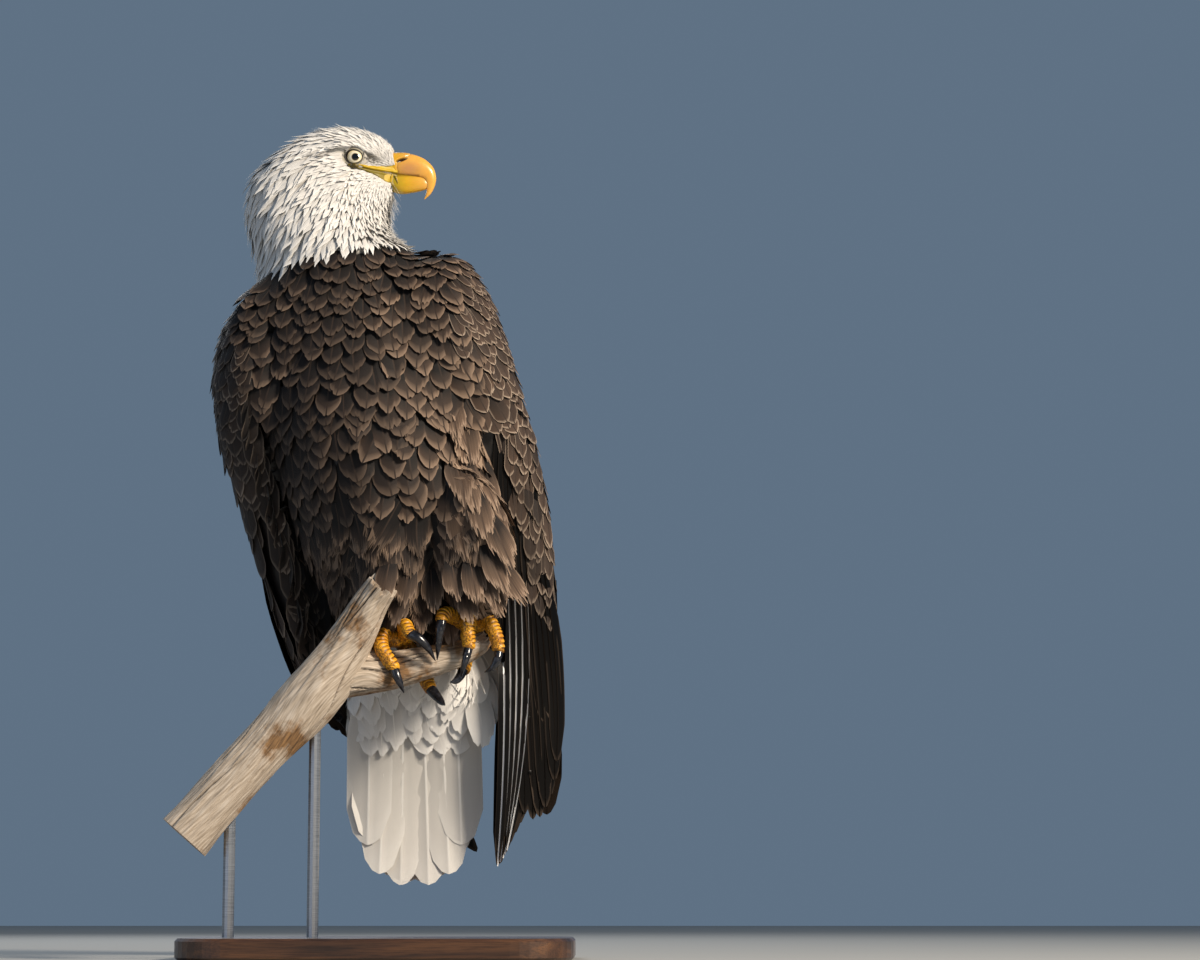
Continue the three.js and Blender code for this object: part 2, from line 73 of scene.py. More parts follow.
def node(tree, kind, inputs=None, stops=None, **settings):
    """Adds one node. Inputs are values, or the sockets that are linked in; stops are a ramp's colours."""
    made = tree.nodes.new("ShaderNode" + kind)
    for name, value in settings.items():
        setattr(made, name, value)
    for name, value in (inputs or {}).items():
        if isinstance(value, bpy.types.NodeSocket):
            tree.links.new(value, made.inputs[name])
        else:
            made.inputs[name].default_value = value
    for i, (place, code) in enumerate(stops or []):
        stop = made.color_ramp.elements[i] if i < 2 else made.color_ramp.elements.new(place)
        stop.position, stop.color = place, linear(code)
    return made


def finish_of(name, **settings):
    """A new material with the given values on its Principled shader; returns it, its tree and shader."""
    material = bpy.data.materials.new(name)
    material.use_nodes = True
    tree = material.node_tree
    shader = tree.nodes["Principled BSDF"]
    for socket, value in settings.items():
        shader.inputs[socket.replace("_", " ")].default_value = value
    return material, tree, shader


def walnut():
    """Stained walnut: long brown figure with fine pores along the board, under satin lacquer."""
    material, tree, shader = finish_of("satin lacquered walnut", Roughness=0.42, Coat_Weight=0.35)
    place = node(tree, "TexCoord").outputs["Object"]
    along = node(tree, "Mapping", {"Vector": place, "Scale": (3.0, 26.0, 26.0)}).outputs["Vector"]
    figure = node(tree, "TexNoise", {"Vector": along, "Scale": 1.6, "Detail": 6.0, "Distortion": 1.1})
    fine = node(tree, "Mapping", {"Vector": place, "Scale": (40.0, 900.0, 900.0)}).outputs["Vector"]
    pores = node(tree, "TexNoise", {"Vector": fine, "Scale": 1.0, "Detail": 3.0})
    tint = node(tree, "ValToRGB", {"Fac": figure.outputs["Fac"]},
                stops=[(0.3, "#2a1a11"), (0.72, "#6a4629"), (0.5, "#4a2f1d")])
    streak = node(tree, "ValToRGB", {"Fac": pores.outputs["Fac"]},
                  stops=[(0.35, "#8c8078"), (0.55, "#ffffff")])
    colour = node(tree, "MixRGB", {"Fac": 0.6, "Color1": tint.outputs["Color"],
                                   "Color2": streak.outputs["Color"]}, blend_type="MULTIPLY")
    tree.links.new(colour.outputs["Color"], shader.inputs["Base Color"])
    bump = node(tree, "Bump", {"Height": pores.outputs["Fac"], "Strength": 0.25, "Distance": 0.0004})
    tree.links.new(bump.outputs["Normal"], shader.inputs["Normal"])
    return material


def brushed_steel():
    """Steel rod drawn through abrasive: grey metal with fine scratches around it."""
    material, tree, shader = finish_of("brushed steel", Metallic=1.0, Roughness=0.34)
    place = node(tree, "TexCoord").outputs["Object"]
    rings = node(tree, "Mapping", {"Vector": place, "Scale": (60.0, 60.0, 2500.0)}).outputs["Vector"]
    scratches = node(tree, "TexNoise", {"Vector": rings, "Scale": 1.0, "Detail": 2.0})
    tint = node(tree, "ValToRGB", {"Fac": scratches.outputs["Fac"]},
                stops=[(0.3, "#8f9296"), (0.7, "#c9cbce")])
    tree.links.new(tint.outputs["Color"], shader.inputs["Base Color"])
    bump = node(tree, "Bump", {"Height": scratches.outputs["Fac"], "Strength": 0.3, "Distance": 0.0002})
    tree.links.new(bump.outputs["Normal"], shader.inputs["Normal"])
    return material


nodes["stand_base"].material_slots[0].material = walnut()
rod_steel = brushed_steel()
for name in ("stand_rod_1", "stand_rod_2"):
    nodes[name].material_slots[0].material = rod_steel


# ---- Perch. A cut length of dead, weathered cottonwood limb that ends in a splintered stub, with a
# broken side arm that the bird grips. Grey outside, brown and fibrous where the bark has peeled.

def smooth_path(stations, count):
    """Catmull-Rom curve through the stations, a row for each, at count even steps of its parameter."""
    stations = np.asarray(stations, float)
    padded = np.vstack([2 * stations[0] - stations[1], stations, 2 * stations[-1] - stations[-2]])
    place = np.linspace(0, len(stations) - 1, count)
    first = np.minimum(place.astype(int), len(stations) - 2)
    t = (place - first)[:, None]
    a, b, c, d = (padded[first + i] for i in range(4))
    return b + 0.5 * t * (c - a + t * (2 * a - 5 * b + 4 * c - d + t * (3 * (b - c) + d - a)))


def unit(vectors):
    """Each vector divided by its length."""
    return vectors / np.maximum(np.linalg.norm(vectors, axis=-1, keepdims=True), 1e-12)


def rough(points, size, seed, waves=9):
    """Smooth random value near -1 to 1: the mean of sine waves of random direction and phase whose
    length is about the given size, scaled up by the root of their number."""
    random = np.random.default_rng(seed)
    ways = random.normal(size=(waves, 3))
    ways = unit(ways) * random.uniform(0.6, 1.7, (waves, 1)) * 2 * np.pi / size
    phases = random.uniform(0, 2 * np.pi, waves)
    return np.sin(points @ ways.T + phases).sum(axis=-1) / math.sqrt(waves)


def grid_faces(rows, columns, wrap):
    """Corners of the quads of a grid of rows by columns, joined across the last column if it wraps."""
    r = np.arange(rows - 1)[:, None] * columns
    c = np.arange(columns if wrap else columns - 1)[None, :]
    after = (c + 1) % columns
    return np.stack([r + c, r + after, r + columns + after, r + columns + c], axis=-1).reshape(-1, 4)


def swept(centres, radii, reference=(0, 0, 1), squash=1.0):
    """Closed tube P(t, a) = C(t) + r(t, a) (cos a N(t) + squash sin a B(t)), with B across the path and
    the reference direction and N across both. Each end closes on the middle of its last ring."""
    rings, around = radii.shape
    tangent = unit(np.gradient(centres, axis=0))
    side = unit(np.cross(tangent, np.asarray(reference, float)))
    top = np.cross(side, tangent)
    angle = np.linspace(0, 2 * np.pi, around, endpoint=False)[None, :, None]
    ring = np.cos(angle) * top[:, None] + squash * np.sin(angle) * side[:, None]
    points = (centres[:, None] + radii[..., None] * ring).reshape(-1, 3)
    points = np.vstack([points, centres[0], centres[-1]])
    ends = [np.arange(around), np.arange(around) + (rings - 1) * around]
    caps = [np.stack([np.roll(ends[0], -1), ends[0], np.full(around, len(points) - 2)], axis=-1),
            np.stack([ends[1], np.roll(ends[1], -1), np.full(around, len(points) - 1)], axis=-1)]
    return points, [grid_faces(rings, around, True), *caps]


def joined(parts):
    """One list of points and faces from several."""
    points = np.vstack([p for p, _ in parts])
    starts = np.cumsum([0] + [len(p) for p, _ in parts])
    return points, [f + start for (_, faces), start in zip(parts, starts) for f in faces]


def shape(name, points, faces, material, facts=None, crisp=None):
    """One smooth-shaded object from whole arrays. Facts are its point attributes; edges sharper than
    crisp degrees stay sharp."""
    mesh = bpy.data.meshes.new(name)
    corners = np.concatenate([f.ravel() for f in faces])
    sizes = np.concatenate([np.full(len(f), f.shape[1]) for f in faces])
    mesh.vertices.add(len(points))
    mesh.loops.add(len(corners))
    mesh.polygons.add(len(sizes))
    mesh.vertices.foreach_set("co", np.asarray(points, np.float32).ravel())
    mesh.loops.foreach_set("vertex_index", corners.astype(np.int32))
    mesh.polygons.foreach_set("loop_start", (np.cumsum(sizes) - sizes).astype(np.int32))
    mesh.update(calc_edges=True)
    mesh.polygons.foreach_set("use_smooth", np.ones(len(sizes), bool))
    for key, values in (facts or {}).items():
        kind, field = ("FLOAT", "value") if values.ndim == 1 else ("FLOAT_VECTOR", "vector")
        mesh.attributes.new(key, kind, "POINT").data.foreach_set(field, values.astype(np.float32).ravel())
    if crisp:
        mesh.set_sharp_from_angle(angle=math.radians(crisp))
    mesh.materials.append(material)
    piece = bpy.data.objects.new(name, mesh)
    bpy.context.scene.collection.objects.link(piece)
    return piece


def limb(stations, rings, around, seed, splinter):
    """Weathered limb: a swept tube whose radius is swollen by slow lumps, cut by cracks that wander
    along it, and roughened by fine fibres. Its last rings are drawn out unevenly into splinters. The
    third result is the grain: the way round, the way along, and how deep in a crack each point is."""
    path = smooth_path(stations, rings) * MM
    centres, radius = path[:, :3], path[:, 3:]
    steps = np.linalg.norm(np.diff(centres, axis=0), axis=1)
    along = np.concatenate([[0], np.cumsum(steps)])[:, None]
    angle = np.linspace(0, 2 * np.pi, around, endpoint=False)[None, :]
    flat = np.stack(np.broadcast_arrays(np.cos(angle) * 0.03, np.sin(angle) * 0.03, along * 0.35), axis=-1)
    fibre = np.stack(np.broadcast_arrays(np.cos(angle) * 0.03, np.sin(angle) * 0.03, along * 0.08), axis=-1)
    radii = radius * (1 + 0.05 * rough(flat, 0.05, seed) + 0.02 * rough(fibre, 0.012, seed + 1))
    radii = radii + 0.35 * MM * rough(fibre, 0.0035, seed + 2)
    crack = np.zeros_like(radii)
    random = np.random.default_rng(seed)
    for _ in range(11):
        middle = random.uniform(0, 2 * np.pi)
        middle = middle + 0.35 * np.sin(along * random.uniform(15, 40) + random.uniform(0, 6))
        far = np.abs((angle - middle + np.pi) % (2 * np.pi) - np.pi) * radius
        centre, reach = random.uniform(0, along[-1, 0]), random.uniform(0.03, 0.09)
        open_here = np.clip(1.4 - np.abs(along - centre) / reach, 0, 1)
        crack = np.maximum(crack, np.exp(-(far / (random.uniform(0.5, 1.1) * MM)) ** 2) * open_here)
    radii = radii - 2.6 * MM * crack
    points, faces = swept(centres, radii, reference=(0.2, 1, 0.1))
    last = np.linspace(0, 1, rings)[:, None] ** 24
    round_it = np.stack(np.broadcast_arrays(np.cos(angle), np.sin(angle), along * 0), -1)
    spike = rough(round_it, 0.5, seed + 3) + 0.6 * rough(round_it, 0.16, seed + 4)
    tangent = unit(np.gradient(centres, axis=0))
    points[:-2] += (tangent[:, None] * (last * spike * splinter)[..., None]).reshape(-1, 3)
    points[-1] -= tangent[-1] * splinter * 0.8
    grain = np.stack([angle * radius, np.broadcast_to(along, crack.shape), crack], -1).reshape(-1, 3)
    return points, faces, np.concatenate([grain, [[0, 0, 0.0], [0, along[-1, 0], 0.7]]])


def weathered_wood():
    """Dead limb wood: silvery grey fibres that run along it, brown where bark has peeled, dark cracks."""
    material, tree, shader = finish_of("weathered cottonwood", Roughness=0.86)
    grain = node(tree, "Attribute", attribute_name="grain").outputs["Vector"]
    place = node(tree, "TexCoord").outputs["Object"]
    crack = node(tree, "SeparateXYZ", {"Vector": grain}).outputs["Z"]
    stretched = node(tree, "Mapping", {"Vector": grain, "Scale": (1.0, 0.09, 0.0)}).outputs["Vector"]
    fibres = node(tree, "TexNoise", {"Vector": stretched, "Scale": 520.0, "Detail": 5.0})
    patches = node(tree, "TexNoise", {"Vector": place, "Scale": 17.0, "Detail": 6.0, "Roughness": 0.62})
    grey = node(tree, "ValToRGB", {"Fac": fibres.outputs["Fac"]},
                stops=[(0.28, "#8d7f6f"), (0.75, "#d6cabb"), (0.5, "#b7a896")])
    brown = node(tree, "ValToRGB", {"Fac": fibres.outputs["Fac"]}, stops=[(0.3, "#4e3a28"), (0.7, "#a07a50")])
    where = node(tree, "ValToRGB", {"Fac": patches.outputs["Fac"]},
                 stops=[(0.5, "#000000"), (0.6, "#ffffff")])
    bare = node(tree, "MixRGB", {"Fac": where.outputs["Color"], "Color1": grey.outputs["Color"],
                                 "Color2": brown.outputs["Color"]})
    dark = node(tree, "MixRGB", {"Fac": crack, "Color1": bare.outputs["Color"], "Color2": linear("#2b211a")})
    tree.links.new(dark.outputs["Color"], shader.inputs["Base Color"])
    height = node(tree, "MixRGB", {"Fac": 0.3, "Color1": fibres.outputs["Fac"],
                                   "Color2": patches.outputs["Fac"]})
    bump = node(tree, "Bump", {"Height": height.outputs["Color"], "Strength": 0.8, "Distance": 0.0009})
    tree.links.new(bump.outputs["Normal"], shader.inputs["Normal"])
    return material


main_limb = [[-195, -70, 123, 28], [-168, -66, 154, 26.5], [-118, -60, 212, 25.5], [-69, -55, 267, 29],
             [-35, -57, 315, 24], [-8, -70, 360, 17], [4, -78, 377, 15]]
side_arm = [[-62, -50, 279, 21], [-22, -40, 291, 23.5], [10, -29, 295, 20], [44, -24, 303, 16.5],
            [78, -21, 312.5, 13.5], [98, -18, 322, 11.5], [106, -16, 328, 8]]
limb_parts = [limb(main_limb, 330, 150, 3, 2.5 * MM), limb(side_arm, 220, 110, 8, 3.5 * MM)]
points, faces = joined([(p, f) for p, f, _ in limb_parts])
perch = shape("perch_wood", points, faces, weathered_wood(),
              {"grain": np.vstack([g for _, _, g in limb_parts])}, crisp=60)
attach(perch, "root")
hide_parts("perch")


# ---- Outer form. The flesh and coat together, as smooth closed hulls fused from the frame's solids:
# feather tips lie on them, and the skin lies inside them by the depth of the coat.

def merged(name):
    """The points and triangles of a frame node, whose triangles are loose, with equal corners joined."""
    mesh = nodes[name].data
    mesh.calc_loop_triangles()
    points = np.empty(len(mesh.vertices) * 3, np.float32)
    mesh.vertices.foreach_get("co", points)
    triangles = np.empty(len(mesh.loop_triangles) * 3, np.int32)
    mesh.loop_triangles.foreach_get("vertices", triangles)
    keys, index = np.unique(np.round(points.reshape(-1, 3) * 1e5).astype(int), axis=0, return_inverse=True)
    return keys * 1e-5, index.ravel()[triangles].reshape(-1, 3)


def outward(points, triangles):
    """The area-weighted outward direction at each point."""
    corner = points[triangles]
    across = np.cross(corner[:, 1] - corner[:, 0], corner[:, 2] - corner[:, 0])
    total = [np.bincount(triangles.ravel(), np.repeat(across[:, i], 3), len(points)) for i in range(3)]
    return unit(np.stack(total, -1))


def relaxed(points, triangles, rounds, share=None):
    """Each round moves every point half way to the mean of its neighbours, times its share."""
    pairs = np.vstack([triangles[:, [0, 1]], triangles[:, [1, 2]], triangles[:, [2, 0]]])
    degree = np.maximum(np.bincount(pairs[:, 0], minlength=len(points)), 1)[:, None]
    weight = 0.5 if share is None else 0.5 * share[:, None]
    for _ in range(rounds):
        total = [np.bincount(pairs[:, 0], points[pairs[:, 1], i], len(points)) for i in range(3)]
        points = points + weight * (np.stack(total, -1) / degree - points)
    return points


def voxelled(points, triangles, voxel, fine=None, cuts=3):
    """The closed outer surface of overlapping solids by a voxel remesh, cut finer where fine(points)."""
    piece = shape("fusing", points, triangles if isinstance(triangles, list) else [triangles], None)
    piece.modifiers.new("fuse", "REMESH").voxel_size = voxel
    piece.modifiers["fuse"].mode = "VOXEL"
    result = bpy.data.meshes.new_from_object(piece.evaluated_get(bpy.context.evaluated_depsgraph_get()))
    bpy.data.objects.remove(piece)
    if fine:
        work = bmesh.new()
        work.from_mesh(result)
        inside = fine(np.array([v.co for v in work.verts]))
        edges = [e for e in work.edges if inside[e.verts[0].index] and inside[e.verts[1].index]]
        bmesh.ops.subdivide_edges(work, edges=edges, cuts=cuts, use_grid_fill=True)
        work.to_mesh(result)
        work.free()
    result.calc_loop_triangles()
    points = np.empty(len(result.vertices) * 3, np.float32)
    result.vertices.foreach_get("co", points)
    triangles = np.empty(len(result.loop_triangles) * 3, np.int32)
    result.loop_triangles.foreach_get("vertices", triangles)
    return points.reshape(-1, 3).astype(float), triangles.reshape(-1, 3)


def fused(names, voxel, swell, rounds, fine=None, cuts=3, pads=()):
    """Nodes swollen a little so that they overlap, and any pads of flesh between them, fused into one
    closed mesh and relaxed, and relaxed again where fine(points) is true."""
    parts = [merged(name) for name in names]
    points, faces = joined([(p + swell * outward(p, t), [t]) for p, t in parts] + list(pads))
    points, triangles = voxelled(points, faces, voxel, fine, cuts)
    points = relaxed(points, triangles, rounds)
    if fine:
        points = relaxed(points, triangles, 25, fine(points).astype(float))
    return points, triangles


def filled(points, triangles, rounds):
    """Each round moves every point half way to the mean of its neighbours along the surface, but across
    it only outwards: creases fill, and ridges stay."""
    for _ in range(rounds):
        normal = outward(points, triangles)
        step = relaxed(points, triangles, 1) - points
        rise = (step * normal).sum(axis=1, keepdims=True)
        points = points + step - np.minimum(rise, 0) * normal
    return points


class Hull:
    """A closed surface that feathers are rooted in and laid along."""

    def __init__(self, points, triangles):
        """Keeps the surface's points and triangles, its outward directions and a tree to search it."""
        self.points, self.triangles = points, triangles
        self.normals = outward(points, triangles)
        self.tree = BVHTree.FromPolygons(points.tolist(), triangles.tolist())

    def scatter(self, count, random):
        """Random places, as many to each triangle as its area asks."""
        a, b, c = (self.points[self.triangles[:, i]] for i in range(3))
        area = np.linalg.norm(np.cross(b - a, c - a), axis=1)
        pick = random.choice(len(area), count, p=area / area.sum())
        u, v = random.uniform(size=(2, count, 1))
        swap = u + v > 1
        u, v = np.where(swap, 1 - u, u), np.where(swap, 1 - v, v)
        return a[pick] + u * (b - a)[pick] + v * (c - a)[pick]

    def _settle(self, found):
        """The places that a search found, and the smooth outward direction at each: the mean of the
        three corners' directions, each weighted by the area of the triangle across from it."""
        place = np.array([f[0] for f in found])
        corner = self.triangles[[f[2] for f in found]]
        a, b, c = (self.points[corner[:, i]] for i in range(3))
        weight = np.stack([np.linalg.norm(np.cross(q - place, r - place), axis=1)
                           for q, r in ((b, c), (c, a), (a, b))], -1) + 1e-12
        normal = (self.normals[corner] * weight[..., None]).sum(axis=1)
        return place, unit(normal)

    def nearest(self, points):
        """The nearest place on the surface to each point, and the smooth outward direction there."""
        return self._settle([self.tree.find_nearest(p) for p in points.tolist()])

    def struck(self, points, way):
        """Where a line from each point along the way first meets the surface, or else the nearest place."""
        hits = [self.tree.ray_cast(p, way) for p in points.tolist()]
        hits = [h if h[0] else self.tree.find_nearest(p + np.array(way) * 0.3) for h, p in zip(hits, points)]
        return self._settle(hits)

    def height(self, points):
        """How far each point stands outside the surface; negative inside."""
        place, normal = self.nearest(points)
        return ((points - place) * normal).sum(axis=1)


head_middle = -32 * MM
eye_x, eye_z = -31.3 * MM, 829.5 * MM
eye_spread, eye_radius, lid_radius = 21 * MM, 12.5 * MM, 13.7 * MM
bill_root = np.array([8, -32, 820]) * MM
brow_x = np.array([-62, -50, -44, -35, -27, -20, -12, -4]) * MM
brow_z = np.array([836.5, 838.6, 839.8, 840.0, 838.4, 836.0, 833.6, 831]) * MM


def bell(value, middle, reach):
    """exp(-((value - middle) / reach)²)."""
    return np.exp(-((value - middle) / reach) ** 2)


def ramp(value, low, high):
    """0 below low, 1 above high, and smooth between them as 3t² - 2t³."""
    t = np.clip((value - low) / (high - low), 0, 1)
    return t * t * (3 - 2 * t)


def face_form(points):
    """The bones of the face, as sideways moves. The face narrows towards the bill, a ridge along the brow
    stands out over the eye, the lore before the eye and the hollow behind it sink in, and round the
    lids the face is pushed out to 0.6 mm under them."""
    x, y, z = points.T
    side = np.sign(y - head_middle) * ramp(np.abs(y - head_middle), 6 * MM, 16 * MM)
    over = z - np.interp(x, brow_x, brow_z)
    brow = bell(over, 0, np.where(over > 0, 8 * MM, 2.8 * MM)) * ramp(x, -66 * MM, -48 * MM)
    brow *= ramp(-x, 2 * MM, 14 * MM)
    lore = bell(x, -10 * MM, 10 * MM) * bell(z, 825 * MM, 7 * MM)
    hollow = bell(x, -46 * MM, 16 * MM) * bell(z, 832 * MM, 4 * MM)
    moved = points.copy()
    out = np.abs(y - head_middle)
    limit = np.interp(x, np.array([-60, -34, -6, 8, 14]) * MM, np.array([60, 30.5, 19, 13.2, 11]) * MM)
    wide = ramp(z, 770 * MM, 790 * MM) * np.maximum(out - limit, 0) * 0.9
    moved[:, 1] += side * ((6.0 * brow - 3.0 * lore - 2.2 * hollow) * MM - wide)
    reach = np.hypot(x - eye_x, z - eye_z)
    orbit = eye_spread + np.sqrt(np.maximum(lid_radius ** 2 - reach ** 2, 0)) - 0.6 * MM
    short = np.maximum(orbit - np.abs(moved[:, 1] - head_middle), 0) * (reach < lid_radius - 0.3 * MM)
    moved[:, 1] += np.sign(y - head_middle) * short * ramp(reach, 7.8 * MM, 9.6 * MM)
    return moved


def on_head(points):
    """True on the head and the top of the neck."""
    return points[:, 2] > 776 * MM


body_points, body_triangles = fused(["head", "neck", "trunk", "thigh_right", "thigh_left", "tail"],
                                    4.2 * MM, 0.7 * MM, 14, fine=on_head)
body = Hull(face_form(body_points), body_triangles)


def pad(stations, around=24):
    """A round pad of flesh and down along a path of x, y, z and radius, in millimetres."""
    path = smooth_path(stations, 30) * MM
    return swept(path[:, :3], path[:, 3:] * np.ones((1, around)), reference=(0.3, 1, 0.2))


shoulder_pads = [pad([[25, -34, 706, 20], [48, -42, 711, 19], [72, -42, 712, 16]]),
                 pad([[56, -62, 706, 16], [66, -76, 670, 19], [80, -78, 630, 20], [94, -66, 585, 18]]),
                 pad([[-130, -48, 690, 16], [-142, -60, 660, 18], [-142, -64, 620, 18],
                      [-134, -64, 575, 16]])]
torso_points, torso_triangles = fused(["neck", "trunk", "wing_left", "wing_right"], 5 * MM, 1.5 * MM, 4,
                                      pads=shoulder_pads)
torso_points, torso_triangles = voxelled(filled(torso_points, torso_triangles, 220), torso_triangles, 5 * MM)
torso = Hull(relaxed(filled(torso_points, torso_triangles, 60), torso_triangles, 10), torso_triangles)
wings = {side: Hull(*fused(["wing_" + side, "wingtip_" + side], 3.6 * MM, 0.7 * MM, 8))
         for side in ("left", "right")}


# ---- Plumage. Every feather is a thin vane on a shaft: closed, cambered, rounded or drawn to a point,
# its barbs split here and there along the edge. Roots are sunk in the coat and tips lie on the hull.

def spread(points, spacing, ways, shorter, random):
    """Poisson-disk choice. In random order each place that is kept rules out those closer to it than its
    spacing, with lengths along the lie counted 1/shorter times. Returns the kept indices."""
    tree = KDTree(len(points))
    for i, p in enumerate(points.tolist()):
        tree.insert(p, i)
    tree.balance()
    free = np.ones(len(points), bool)
    kept = []
    for i in random.permutation(len(points)):
        if not free[i]:
            continue
        kept.append(i)
        near = np.array([f[1] for f in tree.find_range(points[i], spacing[i])])
        gap = points[near] - points[i]
        along = gap @ ways[i]
        across = (gap * gap).sum(axis=1) - along ** 2
        free[near[across + (along / shorter) ** 2 < spacing[i] ** 2]] = False
        free[i] = False
    return np.array(kept)


def tangent_way(way, normal):
    """The part of a direction that lies along the surface."""
    return unit(way - (way * normal).sum(axis=-1, keepdims=True) * normal)


def walk(hull, roots, lie, length, turn, samples=6):
    """Shaft lines laid on the hull: from the root each step goes on along the lie, turned a little for
    each feather, and comes back to the nearest place on the surface."""
    place, normal = hull.nearest(roots)
    line, up = [place], [normal]
    for _ in range(samples - 1):
        way = tangent_way(lie(place), normal)
        way = way * np.cos(turn)[:, None] + np.cross(normal, way) * np.sin(turn)[:, None]
        place, normal = hull.nearest(place + way * (length / (samples - 1))[:, None])
        line.append(place)
        up.append(normal)
    return np.stack(line, axis=1), np.stack(up, axis=1)


def at(samples, t):
    """Values at t from 0 to 1 along each line of even samples; samples are (n, k, ...), t is (n, r, v)."""
    place = t * (samples.shape[1] - 1)
    first = np.clip(place.astype(int), 0, samples.shape[1] - 2)
    part = place - first
    n = np.arange(len(samples))[:, None, None]
    if samples.ndim == 3:
        part = part[..., None]
    return samples[n, first] * (1 - part) + samples[n, first + 1] * part


def vanes(name, line, up, half, trim, material, tone, rows, across, camber=0.14, ridge=None, unwrap=None):
    """A joined mesh of feathers. With t = u (1 - trim(v)), a vane is P(u, v) = C(t) + v h(t) S(t)
    + (ridge(v) - camber v² h(t)) U(t), where C is the shaft line, h half the width, U the up direction
    and S = C' x U; u runs down rows and v is across, from -1 to 1. A strip from edge to edge closes it
    below. OFBake gives each feather a patch at its root's angle and height."""
    n, r, c = len(line), len(rows), len(across)
    rows, across = np.asarray(rows, float), np.asarray(across, float)
    t = rows[None, :, None] * (1 - trim[:, None, :])
    shaft, lifted, width = at(line, t), unit(at(up, t)), at(half, t)
    tangent = unit(at(np.gradient(line, axis=1), t))
    side = unit(np.cross(tangent, lifted))
    lift = (0 if ridge is None else np.asarray(ridge)) - camber * across ** 2 * width
    points = shaft + (across * width)[..., None] * side + lift[..., None] * lifted
    first = (np.arange(n) * r * c)[:, None, None]
    top = first + grid_faces(r, c, False)[None]
    edge = np.arange(r - 1) * c
    below = first + np.stack([edge, edge + c, edge + 2 * c - 1, edge + c - 1], -1)[None]
    start = first[:, 0] + np.arange(c)[::-1]
    end = first[:, 0] + (r - 1) * c + np.arange(c)
    length = np.linalg.norm(np.diff(line, axis=1), axis=2).sum(axis=1)
    u = np.broadcast_to(rows[None, :, None], t.shape)
    v = np.broadcast_to(across, t.shape)
    number = np.broadcast_to(tone[:, None, None], t.shape)
    faces = [top.reshape(-1, 4), below.reshape(-1, 4), start, end]
    piece = shape(name, points.reshape(-1, 3), faces, material,
                  {"vane": np.stack([v, u, number], -1).reshape(-1, 3),
                   "barb": np.stack([v * width, t * length[:, None, None], 0 * t], -1).reshape(-1, 3)},
                  crisp=50)
    spot = unwrap(line[:, 0]) if unwrap else np.stack([around_body(line[:, 0]), line[:, 0, 2] / 0.9], -1)
    patch = spot[:, None, None] + 0.003 * np.stack([v / 2, u - 0.5], axis=-1)
    patch = np.clip(patch, 0.001, 0.999).reshape(-1, 2)
    corners = np.empty(len(piece.data.loops), np.int32)
    piece.data.loops.foreach_get("vertex_index", corners)
    bake = piece.data.uv_layers.new(name="OFBake")
    bake.data.foreach_set("uv", patch[corners].astype(np.float32).ravel())
    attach(piece, "root")
    return piece


def around_body(points):
    """The angle of each point about the body's upright axis, from 0 to 1, as on an unrolled skin."""
    return np.arctan2(points[:, 1] - 0.01, points[:, 0]) / (2 * np.pi) * 0.98 + 0.5


def frayed(tips, count, random, amount, splits=0.0, depth=0.1):
    """Tip trims of every feather: the form, ragged by a share of the length, with some barbs split back."""
    trim = tips + random.uniform(0, amount, (count, np.shape(tips)[-1]))
    split = random.uniform(size=trim.shape) < splits
    return np.clip(trim + split * random.uniform(0.3, 1, trim.shape) * depth, 0, 0.85)


def round_tip(across, amount):
    """The trim of a rounded tip: amount (1 - sqrt(1 - v²))."""
    return amount * (1 - np.sqrt(np.clip(1 - 0.98 * np.asarray(across) ** 2, 0, 1)))


def drawn_tip(across, amount, n, random):
    """Trims of n tips, each somewhere between rounded and drawn to a point."""
    share = random.uniform(0.1, 0.75, (n, 1))
    return (1 - share) * round_tip(across, amount)[None] + share * pointed_tip(across, amount)[None]


def pointed_tip(across, amount):
    """The trim of a pointed tip: amount |v|^1.15."""
    return amount * np.abs(np.asarray(across)) ** 1.15


